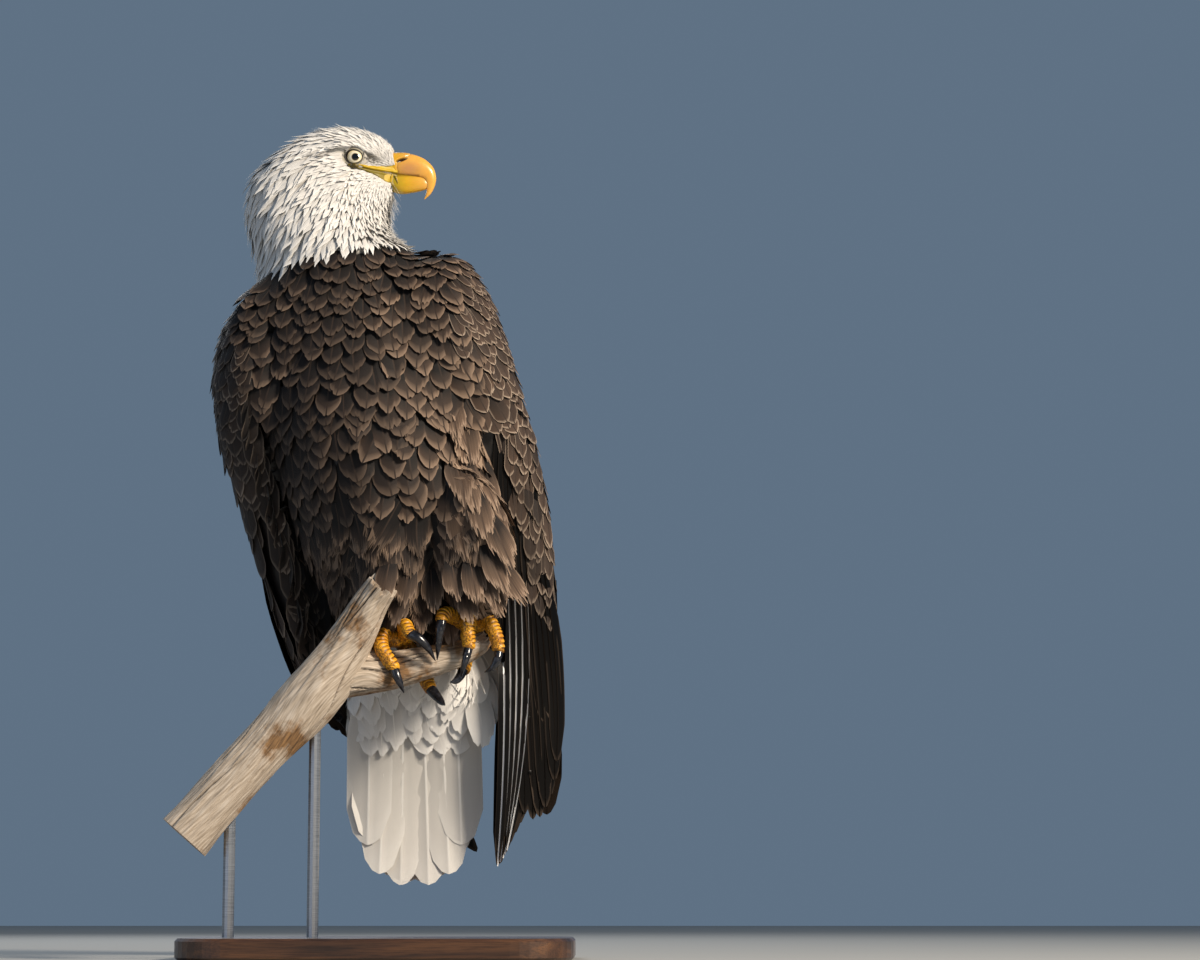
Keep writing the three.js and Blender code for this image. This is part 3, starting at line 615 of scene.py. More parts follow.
def feather_keratin(name, deep, body_colour, light, fringe, shaft, fringe_amount=0.8, roughness=0.62,
                    barb_pitch=1.1 * MM, barb_depth=0.35, shaft_width=0.05, blotch=0.35, sheen=0.06,
                    tip_from=0.84, gloss=0.25, rim_from=0.2, pale_from=0.25):
    """Feather keratin: matt barbs that slant off the shaft, about 1 mm apart, coarser than real so that
    they show. Dark at the root, partly the feather's own darker base and partly painted shade under the
    feathers that overlap it; paler where tip and edge are worn and bleached, smooth on the shaft."""
    material, tree, shader = finish_of(name, Roughness=roughness, Sheen_Weight=sheen, Sheen_Roughness=0.5,
                                       Specular_IOR_Level=gloss)
    vane = node(tree, "Attribute", attribute_name="vane").outputs["Vector"]
    vane = node(tree, "SeparateXYZ", {"Vector": vane})
    barb = node(tree, "Attribute", attribute_name="barb").outputs["Vector"]
    barb = node(tree, "SeparateXYZ", {"Vector": barb})
    place = node(tree, "TexCoord").outputs["Object"]
    out = node(tree, "Math", {0: vane.outputs["X"]}, operation="ABSOLUTE").outputs[0]
    slant = node(tree, "Math", {0: barb.outputs["X"]}, operation="ABSOLUTE").outputs[0]
    slant = node(tree, "Math", {0: slant, 1: -1.35, 2: barb.outputs["Y"]},
                 operation="MULTIPLY_ADD").outputs[0]
    noise = node(tree, "TexNoise", {"Vector": place, "Scale": 190.0, "Detail": 3.0})
    phase = node(tree, "Math", {0: slant, 1: 2 * math.pi / barb_pitch}, operation="MULTIPLY").outputs[0]
    phase = node(tree, "Math", {0: noise.outputs["Fac"], 1: 9.0, 2: phase},
                 operation="MULTIPLY_ADD").outputs[0]
    lines = node(tree, "Math", {0: phase}, operation="SINE").outputs[0]
    lines = node(tree, "MapRange", {"Value": lines, "From Min": -1.0, "From Max": 1.0}).outputs["Result"]
    large = node(tree, "TexNoise", {"Vector": place, "Scale": 34.0, "Detail": 3.0}).outputs["Fac"]
    tone = node(tree, "Math", {0: large, 1: blotch, 2: vane.outputs["Z"]},
                operation="MULTIPLY_ADD").outputs[0]
    tone = node(tree, "Math", {0: tone, 1: blotch / 2}, operation="SUBTRACT").outputs[0]
    base = node(tree, "MixRGB", {"Fac": tone, "Color1": linear(body_colour), "Color2": linear(light)})
    base.use_clamp = True
    # Towards the root the colour turns to the deep one: painted shade under the overlapping feathers, and on
    # brown feathers also their darker bases.
    root_tone_and_shade = node(tree, "MapRange", {"Value": vane.outputs["Y"], "From Min": pale_from, "From Max": 0.95})
    colour = node(tree, "MixRGB", {"Fac": root_tone_and_shade.outputs["Result"], "Color1": linear(deep),
                                   "Color2": base.outputs["Color"]})
    tip = node(tree, "MapRange", {"Value": vane.outputs["Y"], "From Min": tip_from, "From Max": 1.0})
    rim = node(tree, "MapRange", {"Value": out, "From Min": 0.84, "From Max": 1.0, "To Max": 0.8})
    low = node(tree, "MapRange", {"Value": vane.outputs["Y"], "From Min": rim_from,
                                  "From Max": rim_from + 0.2})
    rim = node(tree, "Math", {0: rim.outputs["Result"], 1: low.outputs["Result"]},
               operation="MULTIPLY").outputs[0]
    worn = node(tree, "Math", {0: tip.outputs["Result"], 1: rim}, operation="MAXIMUM").outputs[0]
    bright = node(tree, "MapRange", {"Value": tone, "To Min": 0.25 * fringe_amount, "To Max": fringe_amount})
    worn = node(tree, "Math", {0: worn, 1: bright.outputs["Result"]}, operation="MULTIPLY").outputs[0]
    colour = node(tree, "MixRGB", {"Fac": worn, "Color1": colour.outputs["Color"], "Color2": linear(fringe)})
    quill = node(tree, "MapRange", {"Value": out, "From Min": shaft_width, "From Max": shaft_width * 1.6,
                                    "To Min": 1.0, "To Max": 0.0})
    colour = node(tree, "MixRGB", {"Fac": quill.outputs["Result"], "Color1": colour.outputs["Color"],
                                   "Color2": linear(shaft)})
    shade = node(tree, "MapRange", {"Value": lines, "To Min": 0.78, "To Max": 1.0}).outputs["Result"]
    colour = node(tree, "MixRGB", {"Fac": 1.0, "Color1": colour.outputs["Color"], "Color2": shade},
                  blend_type="MULTIPLY")
    tree.links.new(colour.outputs["Color"], shader.inputs["Base Color"])
    bump = node(tree, "Bump", {"Height": lines, "Strength": barb_depth, "Distance": 0.0005})
    tree.links.new(bump.outputs["Normal"], shader.inputs["Normal"])
    return material


# ---- Body feathers. Broad dark brown contour feathers with worn, paler tips, in overlapping scallops
# down the breast, belly and back.

contour_across = np.linspace(-1, 1, 13)
contour_rows = [0, 0.3, 0.5, 0.65, 0.77, 0.87, 0.95, 1]


def border_height(points):
    """How far each point stands over the line where the white neck meets the brown body: a slanting
    plane that dips 15 mm at the nape."""
    x, y, z = points.T
    nape = 15 * MM * ramp(-x, 92 * MM, 128 * MM)
    return (z - (725.5 * MM + 0.2024 * x - 0.013 * y - nape)) * 0.98


def down_body(points):
    """Body feathers point down, drawn in a little towards the feet under the belly."""
    x, y, z = points.T
    inwards = ramp(-z, -480 * MM, -360 * MM)
    aside, forth = -0.25 * inwards * (x - 40 * MM) / 0.1 + 0.04, -0.2 * inwards * y / 0.1
    return np.stack([aside, forth, -np.ones_like(z)], -1)


def clear_of_wings(points, gap):
    """True where a point isn't inside a wing, or nearer to one than the gap."""
    return (wings["left"].height(points) > gap) & (wings["right"].height(points) > gap)


def contour_half(width, samples=6):
    """Half widths along a contour feather: narrow at the root, full from its middle on."""
    t = np.linspace(0, 1, samples)
    return width[:, None] / 2 * (0.4 + 0.6 * np.sin(np.minimum(t / 0.55, 1) * np.pi / 2)) * (1 - 0.1 * t ** 4)


def shoulder_lie(points):
    """On the breast, back and shoulders feathers point down, and outwards along the folded wings."""
    x, _, z = points.T
    out = 0.6 * ramp(x, 30 * MM, 105 * MM) - 0.45 * ramp(-x, 90 * MM, 165 * MM)
    back = 0.25 * (ramp(x, 60 * MM, 110 * MM) + ramp(-x, 120 * MM, 165 * MM))
    return np.stack([out, back, -np.ones_like(z)], -1)


def scallops(name, hull, candidates, lie, style, material, random, sink=7.5 * MM, lift=1.2 * MM, tilt=0.16,
             fray=0.035, splits=0.12, split_depth=0.09, tip=0.34, across=contour_across):
    """Contour feathers on a hull. Style gives, for places, the width in metres, the length as a multiple
    of the width, and the tone from 0, dark, to 1, light. The height over the hull at t along the shaft
    is -sink (1 - t)^1.1 + lift t³, and each tip stands out a little more or less."""
    place, normal = hull.nearest(candidates)
    width, _, _ = style(place)
    chosen = spread(place, 0.64 * width, tangent_way(lie(place), normal), 0.74, random)
    place = place[chosen]
    n = len(place)
    width, ratio, tone = style(place)
    width = width * random.uniform(0.84, 1.16, n)
    length = width * ratio
    line, up = walk(hull, place - lie(place) * length[:, None] * 0.3, lie, length, random.normal(0, tilt, n))
    t = np.linspace(0, 1, line.shape[1])
    stand = random.normal(0, 0.7, (n, 1)) * MM + random.exponential(0.5, (n, 1)) * MM
    line = line + up * ((-sink * (1 - t) ** 1.1)[None] + lift * t ** 3 + stand * t)[..., None]
    trim = frayed(drawn_tip(across, tip, n, random), n, random, fray, splits=splits, depth=split_depth)
    tone = np.clip(tone + random.normal(0, 0.2, n), 0, 1)
    piece = vanes(name, line, up, contour_half(width), trim, material, tone, contour_rows, across)
    return piece


def breast_style(place):
    """Feathers grow from 17.5 mm wide under the neck to 28 mm on the belly, and are painted lighter
    towards the bird's left, the side the key light falls on."""
    below = -border_height(place)
    width = np.interp(below, np.array([-20, 30, 90, 200, 330]) * MM, [17.5, 21, 24.5, 27, 28]) * MM
    # The tone rises towards the bird's left, the lit side: painted light.
    return width, np.full(len(place), 1.75), 0.02 + 0.66 * ramp(place[:, 0], -55 * MM, 95 * MM)


# Their near-black deep colours are partly the feathers' dark bases and partly painted shade under the
# overlapping feathers.
brown_vane = feather_keratin("brown contour feather", "#0e0a09", "#241b17", "#5e4b3e", "#a48b75", "#33271f",
                             fringe_amount=0.8, tip_from=0.8, rim_from=0.68, pale_from=0.5)
covert_vane = feather_keratin("brown wing covert", "#120d0b", "#2a201a", "#594639", "#c4b09c", "#33271f",
                              fringe_amount=0.9, tip_from=0.93, pale_from=0.35)
crease = 560 * MM
random = np.random.default_rng(11)
candidates = torso.scatter(34000, random)
candidates = candidates[(border_height(candidates) < 12 * MM) & (candidates[:, 2] > crease)]
left_height, right_height = (wings[side].height(candidates) for side in ("left", "right"))
outer = np.where(candidates[:, 0] > 0, left_height, right_height) < 5 * MM
outer &= (candidates[:, 0] > 76 * MM) | (candidates[:, 0] < -138 * MM)
scallops("breast_and_back_feathers", torso, candidates[~outer], shoulder_lie, breast_style, brown_vane,
         random)


def shoulder_style(place):
    """Lesser coverts grow from 12 mm wide on the wing's front edge to 23 mm down its side."""
    down = 735 * MM - place[:, 2] - 0.35 * np.maximum(-place[:, 0], 0)
    width = np.interp(down, np.array([0, 60, 120, 170]) * MM, [12, 13.5, 18, 23]) * MM
    ratio = np.interp(down, np.array([0, 70, 130, 170]) * MM, [2.6, 3.0, 2.4, 2.0])
    # Those on the bird's left, the lit side, get a lighter tone: painted light.
    return width, ratio, 0.1 + 0.55 * (place[:, 0] > 0)


scallops("shoulder_feathers", torso, candidates[outer], shoulder_lie, shoulder_style, covert_vane, random,
         sink=5 * MM, lift=0.8 * MM, tilt=0.08, fray=0.02, splits=0.04, tip=0.24)

candidates = body.scatter(20000, random)
candidates = candidates[(candidates[:, 2] < crease + 6 * MM) & (candidates[:, 2] > 372 * MM)]
candidates = candidates[clear_of_wings(candidates, -2 * MM)]
scallops("belly_feathers", body, candidates, down_body, breast_style, brown_vane, random)


def flank_lie(points):
    """Flank plumes hang down and spread a little sideways over the wing."""
    x, _, z = points.T
    return np.stack([0.14 + 0.2 * ramp(-z, -520 * MM, -400 * MM), -0.1 + 0 * x, -np.ones_like(z)], -1)


def flank_style(place):
    """Long pale plumes, 30 mm wide."""
    return np.full(len(place), 30 * MM), np.full(len(place), 2.6), np.full(len(place), 1.0)


plume_across = np.linspace(-1, 1, 37)
plume_vane = feather_keratin("brown flank plume", "#1c1512", "#3c2e26", "#77604e", "#b39a84", "#4a3a2f",
                             fringe_amount=0.75, tip_from=0.82, rim_from=0.6, pale_from=0.3)
candidates = body.scatter(26000, random)
x, y, z = candidates.T
flank = (z < 600 * MM) & (z > 385 * MM) & (y < 4 * MM) & (x > 62 * MM + 0.12 * (600 * MM - z))
scallops("flank_plumes", body, candidates[flank], flank_lie, flank_style, plume_vane, random, lift=7 * MM,
         sink=3 * MM, tilt=0.16, fray=0.05, splits=0.5, split_depth=0.13, tip=0.4, across=plume_across)


def trouser_lie(points):
    """Leg feathers hang down and flare out from the middle of each thigh towards their tips."""
    x, _, z = points.T
    middle = np.where(x > 52 * MM, 92 * MM, 12 * MM)
    flare = np.clip((x - middle) / (45 * MM), -1, 1) * ramp(-z, -470 * MM, -380 * MM)
    return np.stack([0.6 * flare, -0.2 - 0 * x, -np.ones_like(z)], -1)


def trouser_style(place):
    """Feathers 25 mm wide and over twice as long, with barbs that stand apart at the tip."""
    # Painted light: the tone rises towards the bird's left, the lit side.
    light = 0.25 + 0.6 * ramp(place[:, 0], 0, 110 * MM)
    return np.full(len(place), 25 * MM), np.full(len(place), 2.3), light


thighs = Hull(*fused(["thigh_right", "thigh_left", "trunk"], 4 * MM, 0.9 * MM, 10))
candidates = thighs.scatter(26000, random)
x, y, z = candidates.T
candidates = candidates[(z < 452 * MM) & (z > 338 * MM) & (y < 14 * MM) & (x < 135 * MM)]
candidates = candidates[clear_of_wings(candidates, -2 * MM)]
scallops("trouser_feathers", thighs, candidates, trouser_lie, trouser_style, brown_vane, random, lift=9 * MM,
         sink=3 * MM, tilt=0.24, fray=0.07, splits=0.5, split_depth=0.16, tip=0.34, across=plume_across)

# The longest plumes of flank and thighs, which stand free of the rest: x and z of the root, how far the
# tip lies beside and below it, and the width.
free_plumes = np.array([
    [72, 578, 10, -52, 27], [98, 582, 6, -50, 28], [86, 560, 10, -62, 30], [108, 556, 8, -60, 26],
    [84, 520, 14, -66, 30], [104, 516, 14, -74, 28], [116, 505, 12, -80, 22], [98, 480, 16, -64, 28],
    [114, 450, 26, -60, 30], [108, 425, 26, -62, 28], [120, 408, 34, -54, 26], [104, 402, 17, -52, 26],
    [92, 408, 10, -54, 26], [72, 408, 9, -50, 26], [52, 398, 4, -50, 24], [32, 402, -7, -52, 25],
    [12, 408, -8, -52, 25], [46, 372, -2, -46, 22], [66, 366, 7, -50, 22], [24, 376, -8, -44, 22],
    [110, 384, 18, -42, 22], [86, 378, 8, -42, 22]]) * MM


def loose_plumes():
    """The free plumes: each shaft runs from a root on the thighs, or on the flank over them, straight to
    its tip, and bows 9 mm forwards."""
    random = np.random.default_rng(53)
    x0, z0, dx, dz, width = free_plumes.T
    front = np.stack([x0, 0 * x0 - 300 * MM, z0], -1)
    root, normal = thighs.struck(front, (0, 1, 0))
    t = np.linspace(0, 1, 7)[None, :, None]
    reach = np.stack([dx, -7 * MM - 0 * dx, dz], -1)[:, None]
    bow = np.array([0, -9 * MM, 0]) * t * (1 - 0.4 * t)
    line = root[:, None] + normal[:, None] * -2 * MM + reach * t + bow
    up = unit(np.stack([0.3 * dx / 0.03, -1 - 0 * dx, 0.25 + 0 * dx], -1))[:, None] + 0 * line
    n = len(root)
    trim = frayed(drawn_tip(plume_across, 0.42, n, random), n, random, 0.06, splits=0.5, depth=0.2)
    # Painted light: lighter towards the bird's left, the lit side, with a little random spread.
    light = np.clip(0.35 + 0.75 * ramp(x0, 20 * MM, 90 * MM) + random.normal(0, 0.12, n), 0, 1)
    piece = vanes("loose_plumes", line, unit(up), contour_half(width, 7), trim, plume_vane, light,
                  contour_rows, plume_across)


loose_plumes()


# ---- White head and neck. Fine scale-like feathers on the face, longer ones over the crown and cheeks,
# and long pointed hackles down the neck that end in a jagged edge over the brown.

hackle_across = [-1, -0.55, 0, 0.55, 1]
hackle_rows = [0, 0.3, 0.55, 0.75, 0.9, 1]
from_bill = np.array([14, 30, 50, 85, 125, 175]) * MM
hackle_length = np.array([5, 7.5, 12, 21, 33, 42]) * MM
hackle_width = np.array([1.6, 2.1, 3.2, 5.4, 8.0, 10.0]) * MM


def down_head(points):
    """Head feathers stream back from the root of the bill and turn down the neck as they leave it."""
    away = points - bill_root
    reach = np.linalg.norm(away, axis=1)
    turn = ramp(reach, 35 * MM, 170 * MM) * 1.25 + 0.12
    throat = 1.4 * ramp(points[:, 0], -70 * MM, -5 * MM) * ramp(-points[:, 2], -805 * MM, -775 * MM)
    return away / reach[:, None] + np.stack([0 * turn, 0 * turn, -(turn + throat)], -1)


mouth_x = np.array([-37, -23, -10, 2, 13]) * MM
mouth_low = np.array([819.4, 816.9, 813.0, 806.0, 803.0]) * MM
mouth_line = np.array([820.4, 819.2, 817.8, 816.9, 816.2]) * MM
mouth_high = np.array([821.2, 822.0, 822.6, 823.8, 826.0]) * MM


def bare_face(points):
    """True on the bare parts of the face: round the eyes, at the bill's root and about the mouth."""
    x, y, z = points.T
    flank = np.abs(y - head_middle) > 7 * MM
    eye = (np.hypot(x - eye_x, z - eye_z) < 10.3 * MM) & (z < np.interp(x, brow_x, brow_z) - 2.6 * MM)
    low, high = np.interp(x, mouth_x, mouth_low), np.interp(x, mouth_x, mouth_high)
    mouth = (z > low) & (z < high) & (x > mouth_x[0])
    chin = np.interp(x, np.array([7, 16]) * MM, np.array([801, 795]) * MM)
    bill = (x > np.where(z > 825 * MM, 11, 7) * MM) & (z > chin)
    return (flank & (eye | mouth)) | bill


def face_spot(points):
    """The place of each point on an unrolled head: its angle about the line back from the bill, and its
    distance along that line and down the neck."""
    away = points - np.array([-0.06, head_middle, 0.80])
    turn = np.arctan2(away[:, 1], away[:, 2]) / (2 * np.pi) * 0.98 + 0.5
    return np.stack([turn, np.clip((0.06 - away[:, 0] - 0.5 * away[:, 2]) / 0.2, 0.01, 0.99)], -1)


def white_tone(points, random):
    """Tones of head feathers: bright, but grey in the lore and in a streak behind the eye, and darker under
    the brow as painted shade.
    """
    x, y, z = points.T
    flank = ramp(np.abs(y - head_middle), 7 * MM, 13 * MM)
    lore = bell(x, -9 * MM, 13 * MM) * bell(z, 827.5 * MM, 5.5 * MM)
    # Under the brow ridge the tone is lowered as painted shade of the ridge.
    under = np.interp(x, brow_x, brow_z) - 4.6 * MM
    brow = bell(z, under, 2.2 * MM) * ramp(-x, 4 * MM, 12 * MM) * (x > -58 * MM)
    streak = bell(z, 833.5 * MM, 2.4 * MM) * bell(x, -62 * MM, 15 * MM)
    grey = np.clip(0.72 * lore + 1.1 * brow + 0.6 * streak, 0, 1) * flank
    return random.uniform(0.72, 1, len(points)) * (1 - grey)


def head_coat():
    """The white coat: hackles spread by their width, which with their length, depth and lift grows with
    the distance from the bill's root. Short ones, near the bill, and long ones, are two pieces."""
    random = np.random.default_rng(23)
    candidates = body.scatter(900000, random)
    candidates = candidates[candidates[:, 2] > 690 * MM]
    candidates = candidates[(border_height(candidates) > 14 * MM) & ~bare_face(candidates)]
    reach = np.linalg.norm(candidates - bill_root, axis=1)
    spacing = 0.74 * np.interp(reach, from_bill, hackle_width)
    chosen = random.uniform(size=len(spacing)) < (1.6 * MM / spacing) ** 2 * 1.6
    candidates, spacing = candidates[chosen], spacing[chosen]
    place, normal = body.nearest(candidates)
    chosen = spread(place, spacing, tangent_way(down_head(place), normal), 1.25, random)
    place, reach = place[chosen], np.linalg.norm(place[chosen] - bill_root, axis=1)
    for name, rule in (("head_feathers", reach < 82 * MM), ("neck_feathers", reach >= 82 * MM)):
        roots, far = place[rule], reach[rule]
        n = len(roots)
        length = np.interp(far, from_bill, hackle_length) * random.uniform(0.75, 1.25, n)
        room = np.maximum(border_height(roots) - 2 * MM, 9 * MM)
        length = np.minimum(length, room + random.uniform(0, 15, n) * MM)
        width = np.interp(far, from_bill, hackle_width) * random.uniform(0.8, 1.2, n)
        turn = random.normal(0, 1, n) * np.interp(far, from_bill, [0.08, 0.08, 0.12, 0.16, 0.17, 0.17])
        line, up = walk(body, roots, down_head, length, turn)
        t = np.linspace(0, 1, 6)
        depth = np.interp(far, from_bill, [0.6, 0.9, 1.6, 3.0, 5.0, 6.5]) * MM
        bristle = ramp(roots[:, 0], -30 * MM, 0.0) * ramp(-roots[:, 2], -800 * MM, -785 * MM)
        lift = np.interp(far, from_bill, [0.35, 0.8, 1.4, 1.9, 2.2, 2.2]) * MM * random.exponential(0.8, n)
        lift = np.minimum(lift * (1 + 1.5 * bristle), 5 * MM)
        rise = -depth[:, None] * (1 - t) + lift[:, None] * t ** 2
        line = line + up * rise[..., None]
        swell = 0.5 + 0.5 * np.sin(np.minimum(t / 0.5, 1) * np.pi / 2)
        half = width[:, None] / 2 * swell * (1 - 0.5 * t ** 3)
        trim = frayed(pointed_tip(hackle_across, 0.45), n, random, 0.05)
        piece = vanes(name, line, up, half, trim, white_vane, white_tone(roots, random), hackle_rows,
                      hackle_across, camber=0.2, unwrap=face_spot)


# Its grey deep colour is painted shade at the roots, and its dark body colour, at tone 0, gives the grey of
# the lore and the painted shade under the brow.
white_vane = feather_keratin("white contour feather", "#c9c7c4", "#4b453e", "#f7f5f1", "#fbfaf7", "#f0eee9",
                             barb_pitch=0.8 * MM, barb_depth=0.12, shaft_width=0.04, roughness=0.7,
                             fringe_amount=0.5, blotch=0.15)
head_coat()


def chin_wisps():
    """Bristly white wisps under the bill and down the throat, that stand out forwards."""
    random = np.random.default_rng(59)
    n = 90
    x = random.uniform(-6, 12, n) * MM
    z = np.interp(x, np.array([-6, 12]) * MM, np.array([772, 799]) * MM) + random.uniform(-14, 8, n) * MM
    root, normal = body.nearest(np.stack([x + 12 * MM, head_middle + random.normal(0, 7, n) * MM, z], -1))
    way = unit(normal * random.uniform(0.2, 0.8, (n, 1)) + np.array([0.1, 0, -1]))
    length = random.uniform(7, 15, n)[:, None, None] * MM
    t = np.linspace(0, 1, 6)[None, :, None]
    sag = np.array([0, 0, -2.5 * MM]) * t ** 2
    line = root[:, None] - normal[:, None] * MM + way[:, None] * length * t + sag
    up = np.broadcast_to(unit(np.cross(way, [0, 1, 0.2]))[:, None], line.shape)
    half = np.array([0.6, 0.8, 0.8, 0.7, 0.5, 0.25]) * MM * np.ones((n, 1))
    piece = vanes("chin_wisps", line, up, half, np.zeros((n, 5)), white_vane, np.ones(n), hackle_rows,
                  hackle_across, unwrap=face_spot)


chin_wisps()


# ---- Wing coverts. Rows of dark brown feathers with narrow bleached edges, longer and narrower down the
# folded wing, over the roots of the flight feathers.

def wing_lie(side):
    """Coverts point down the folded wing and a little back from its front edge."""
    out = 1 if side == "left" else -1

    def lie(points):
        """The direction at each place: the slant off the front edge fades out half way down the wing."""
        high = ramp(points[:, 2], 0.5, 0.7)
        return np.stack([out * 0.3 * high, 0.10 + 0.2 * high, -np.ones(len(points))], -1)
    return lie


def covert_style(side):
    """Median and greater coverts: 20 to 24 mm wide, and two to four times as long down the wing, but
    narrower and longer on the left wing's front."""
    def style(place):
        """Width, length as a multiple of it, and tone, which is painted lighter up the left wing, the lit
        side.
        """
        down = 700 * MM - place[:, 2]
        width = np.interp(down, np.array([100, 200, 300]) * MM, [20, 22, 24]) * MM
        ratio = np.interp(down, np.array([100, 200, 330]) * MM, [2.3, 3.2, 4.0])
        front = (side == "left") & (place[:, 1] < 40 * MM) & (place[:, 2] < 575 * MM)
        width, ratio = width * np.where(front, 0.66, 1), ratio * np.where(front, 1.35, 1)
        return width, ratio, 0.08 + 0.45 * (side == "left") * ramp(place[:, 2], 0.38, 0.56) + 0 * down
    return style


for side, foot in (("left", 395 * MM), ("right", 350 * MM)):
    random = np.random.default_rng(31 if side == "left" else 37)
    candidates = wings[side].scatter(16000, random)
    candidates = candidates[(candidates[:, 2] > foot) & (candidates[:, 2] < crease + 8 * MM)]
    candidates = candidates[body.height(candidates) > -3 * MM]
    if side == "left":
        # None on the left wing's front below a slanting line, where the flight feathers show, but for
        # those on its outer face.
        x, y, z = candidates.T
        gap = np.interp(x, np.array([105, 112, 130, 147, 164, 180]) * MM,
                        np.array([612, 598, 563, 502, 444, 400]) * MM)
        inner = np.interp(z, np.array([343, 416, 475, 524]) * MM, np.array([182, 163, 148, 135]) * MM)
        outwards = wings[side].nearest(candidates)[1][:, 0] > 0.45
        candidates = candidates[(z > gap) | (y > 62 * MM) | (outwards & (x > inner))]
    scallops("wing_coverts_" + side, wings[side], candidates, wing_lie(side), covert_style(side), covert_vane,
             random, sink=3.5 * MM, lift=1.6 * MM, tilt=0.05, fray=0.015, splits=0.04, split_depth=0.05,
             tip=0.2)


# ---- Flight feathers. Long black quills with smooth vanes, stacked edge over edge in the folded wing:
# secondaries fall behind, primaries bundle at the front and show their pale shafts.

quill_across = [-1, -0.6, -0.3, -0.07, 0, 0.07, 0.35, 0.7, 1]
quill_crest = np.array([0, 0, 0, 0, 1, 0, 0, 0, 0])
quill_rows = [0, 0.15, 0.3, 0.45, 0.6, 0.72, 0.82, 0.9, 0.95, 0.98, 1]


def quill_lines(hull, starts, ends, bows, way, samples=14):
    """Shaft lines from starts to ends, bowed sideways by a parabola, and thrown along the way on to a
    hull. Past the hull's edge a line keeps the depth and the outward direction that it had there."""
    t = np.linspace(0, 1, samples)[None, :, None]
    line = starts[:, None] * (1 - t) + ends[:, None] * t + bows[:, None] * 4 * t * (1 - t)
    way = np.array(way, float)
    line = line - (line @ way)[..., None] * way
    facts = np.array([[(h[3], *h[1]) if h[0] else [np.nan] * 4 for h in
                       (hull.tree.ray_cast(p - 0.4 * way, way) for p in one)] for one in line])
    steps = np.arange(samples)
    for one in facts:
        met = ~np.isnan(one[:, 0])
        one[:] = np.stack([np.interp(steps, steps[met], one[met, i]) for i in range(4)], -1)
    place, normal = line + (facts[..., :1] - 0.4) * way, unit(facts[..., 1:])
    for _ in range(4):
        place[:, 1:-1] = (place[:, :-2] + 2 * place[:, 1:-1] + place[:, 2:]) / 4
        normal[:, 1:-1] = unit(normal[:, :-2] + 2 * normal[:, 1:-1] + normal[:, 2:])
    return place, normal


def quills(name, hull, starts, ends, bows, way, width, lift, material, tip=0.16, tone=0.3, taper=0.3,
           base=-1.5, ridge=1.4 * MM):
    """A row of flight feathers or tail feathers on one face of a hull: the first lies base over it, and
    each lies lift over the last. Half the width at t is width / 2 min(1, 0.35 + 2.2 t) (1 - taper t²)."""
    starts, ends, bows = (np.asarray(a, float) * MM for a in (starts, ends, bows))
    n = len(starts)
    random = np.random.default_rng(n * 13 + len(name))
    line, up = quill_lines(hull, starts, ends, bows, way)
    up = unit(up + 1.6 * up.mean(axis=1, keepdims=True) + 0.8 * up.mean(axis=(0, 1), keepdims=True))
    t = np.linspace(0, 1, line.shape[1])
    line = line + up * ((np.arange(n)[:, None] * lift + base) * MM + 0 * t)[..., None]
    half = width * MM / 2 * np.minimum(1, 0.35 + 2.2 * t) * (1 - taper * t ** 2)
    trim = frayed(round_tip(quill_across, tip), n, random, 0.004)
    return vanes(name, line, up, np.broadcast_to(half, (n, len(t))), trim, material,
                 np.clip(tone + random.normal(0, 0.2, n), 0, 1), quill_rows, quill_across,
                 camber=0.10, ridge=ridge * quill_crest)


primary_vane = feather_keratin("black primary", "#060505", "#0a0909", "#191513", "#6b5c50", "#ffffff",
                               fringe_amount=0.5, roughness=0.45, shaft_width=0.09, barb_depth=0.15,
                               sheen=0.0, tip_from=0.97, gloss=0.12)
black_vane = feather_keratin("black flight feather", "#050404", "#090807", "#171311", "#6b5c50", "#2c2520",
                             fringe_amount=0.6, roughness=0.45, shaft_width=0.03, barb_depth=0.15, sheen=0.0,
                             tip_from=0.97, gloss=0.12)


def row(first, last, count):
    """Count places in even steps from the first to the last."""
    return np.linspace(first, last, count)


straight = np.zeros((1, 3))
edge_tips = np.array([[147, 0, 150], [155, 0, 144], [162, 0, 147], [168, 0, 157], [173, 0, 170],
                      [177, 0, 186], [179, 0, 206]])
edge = quills("secondaries_left_edge", wings["left"], row([140, 0, 400], [166, 0, 400], 7), edge_tips,
              row([2, 0, 0], [6, 0, 0], 7), (0, 1, 0), 27, 0.5, black_vane, tip=0.22, base=-1.5)
front = quills("secondaries_left_front", wings["left"], row([124, 0, 600], [146, 0, 560], 7),
               row([130, 0, 230], [172, 0, 250], 7), straight, (0, 1, 0), 24, 0.4, black_vane, base=-2.5)
random = np.random.default_rng(47)
covert_starts = row([116, 0, 585], [141, 0, 572], 7) + random.normal(0, 1.5, (7, 3))
covert_ends = np.array([[130, 0, 515], [142, 0, 470], [154, 0, 415], [164, 0, 375], [173, 0, 335],
                        [178, 0, 290], [181, 0, 226]])
long_vane = feather_keratin("long brown covert", "#1d1612", "#1c1512", "#55433a", "#d0bda8", "#2b211b",
                            fringe_amount=0.95, tip_from=0.98, pale_from=0.1)
long_coverts = quills("long_coverts_left", wings["left"], covert_starts, covert_ends,
                      row([1, 0, 0], [11, 0, 0], 7), (0, 1, 0), 17, 0.5, long_vane, tip=0.1, tone=0.45,
                      taper=0.3, base=-3.5, ridge=0.5 * MM)

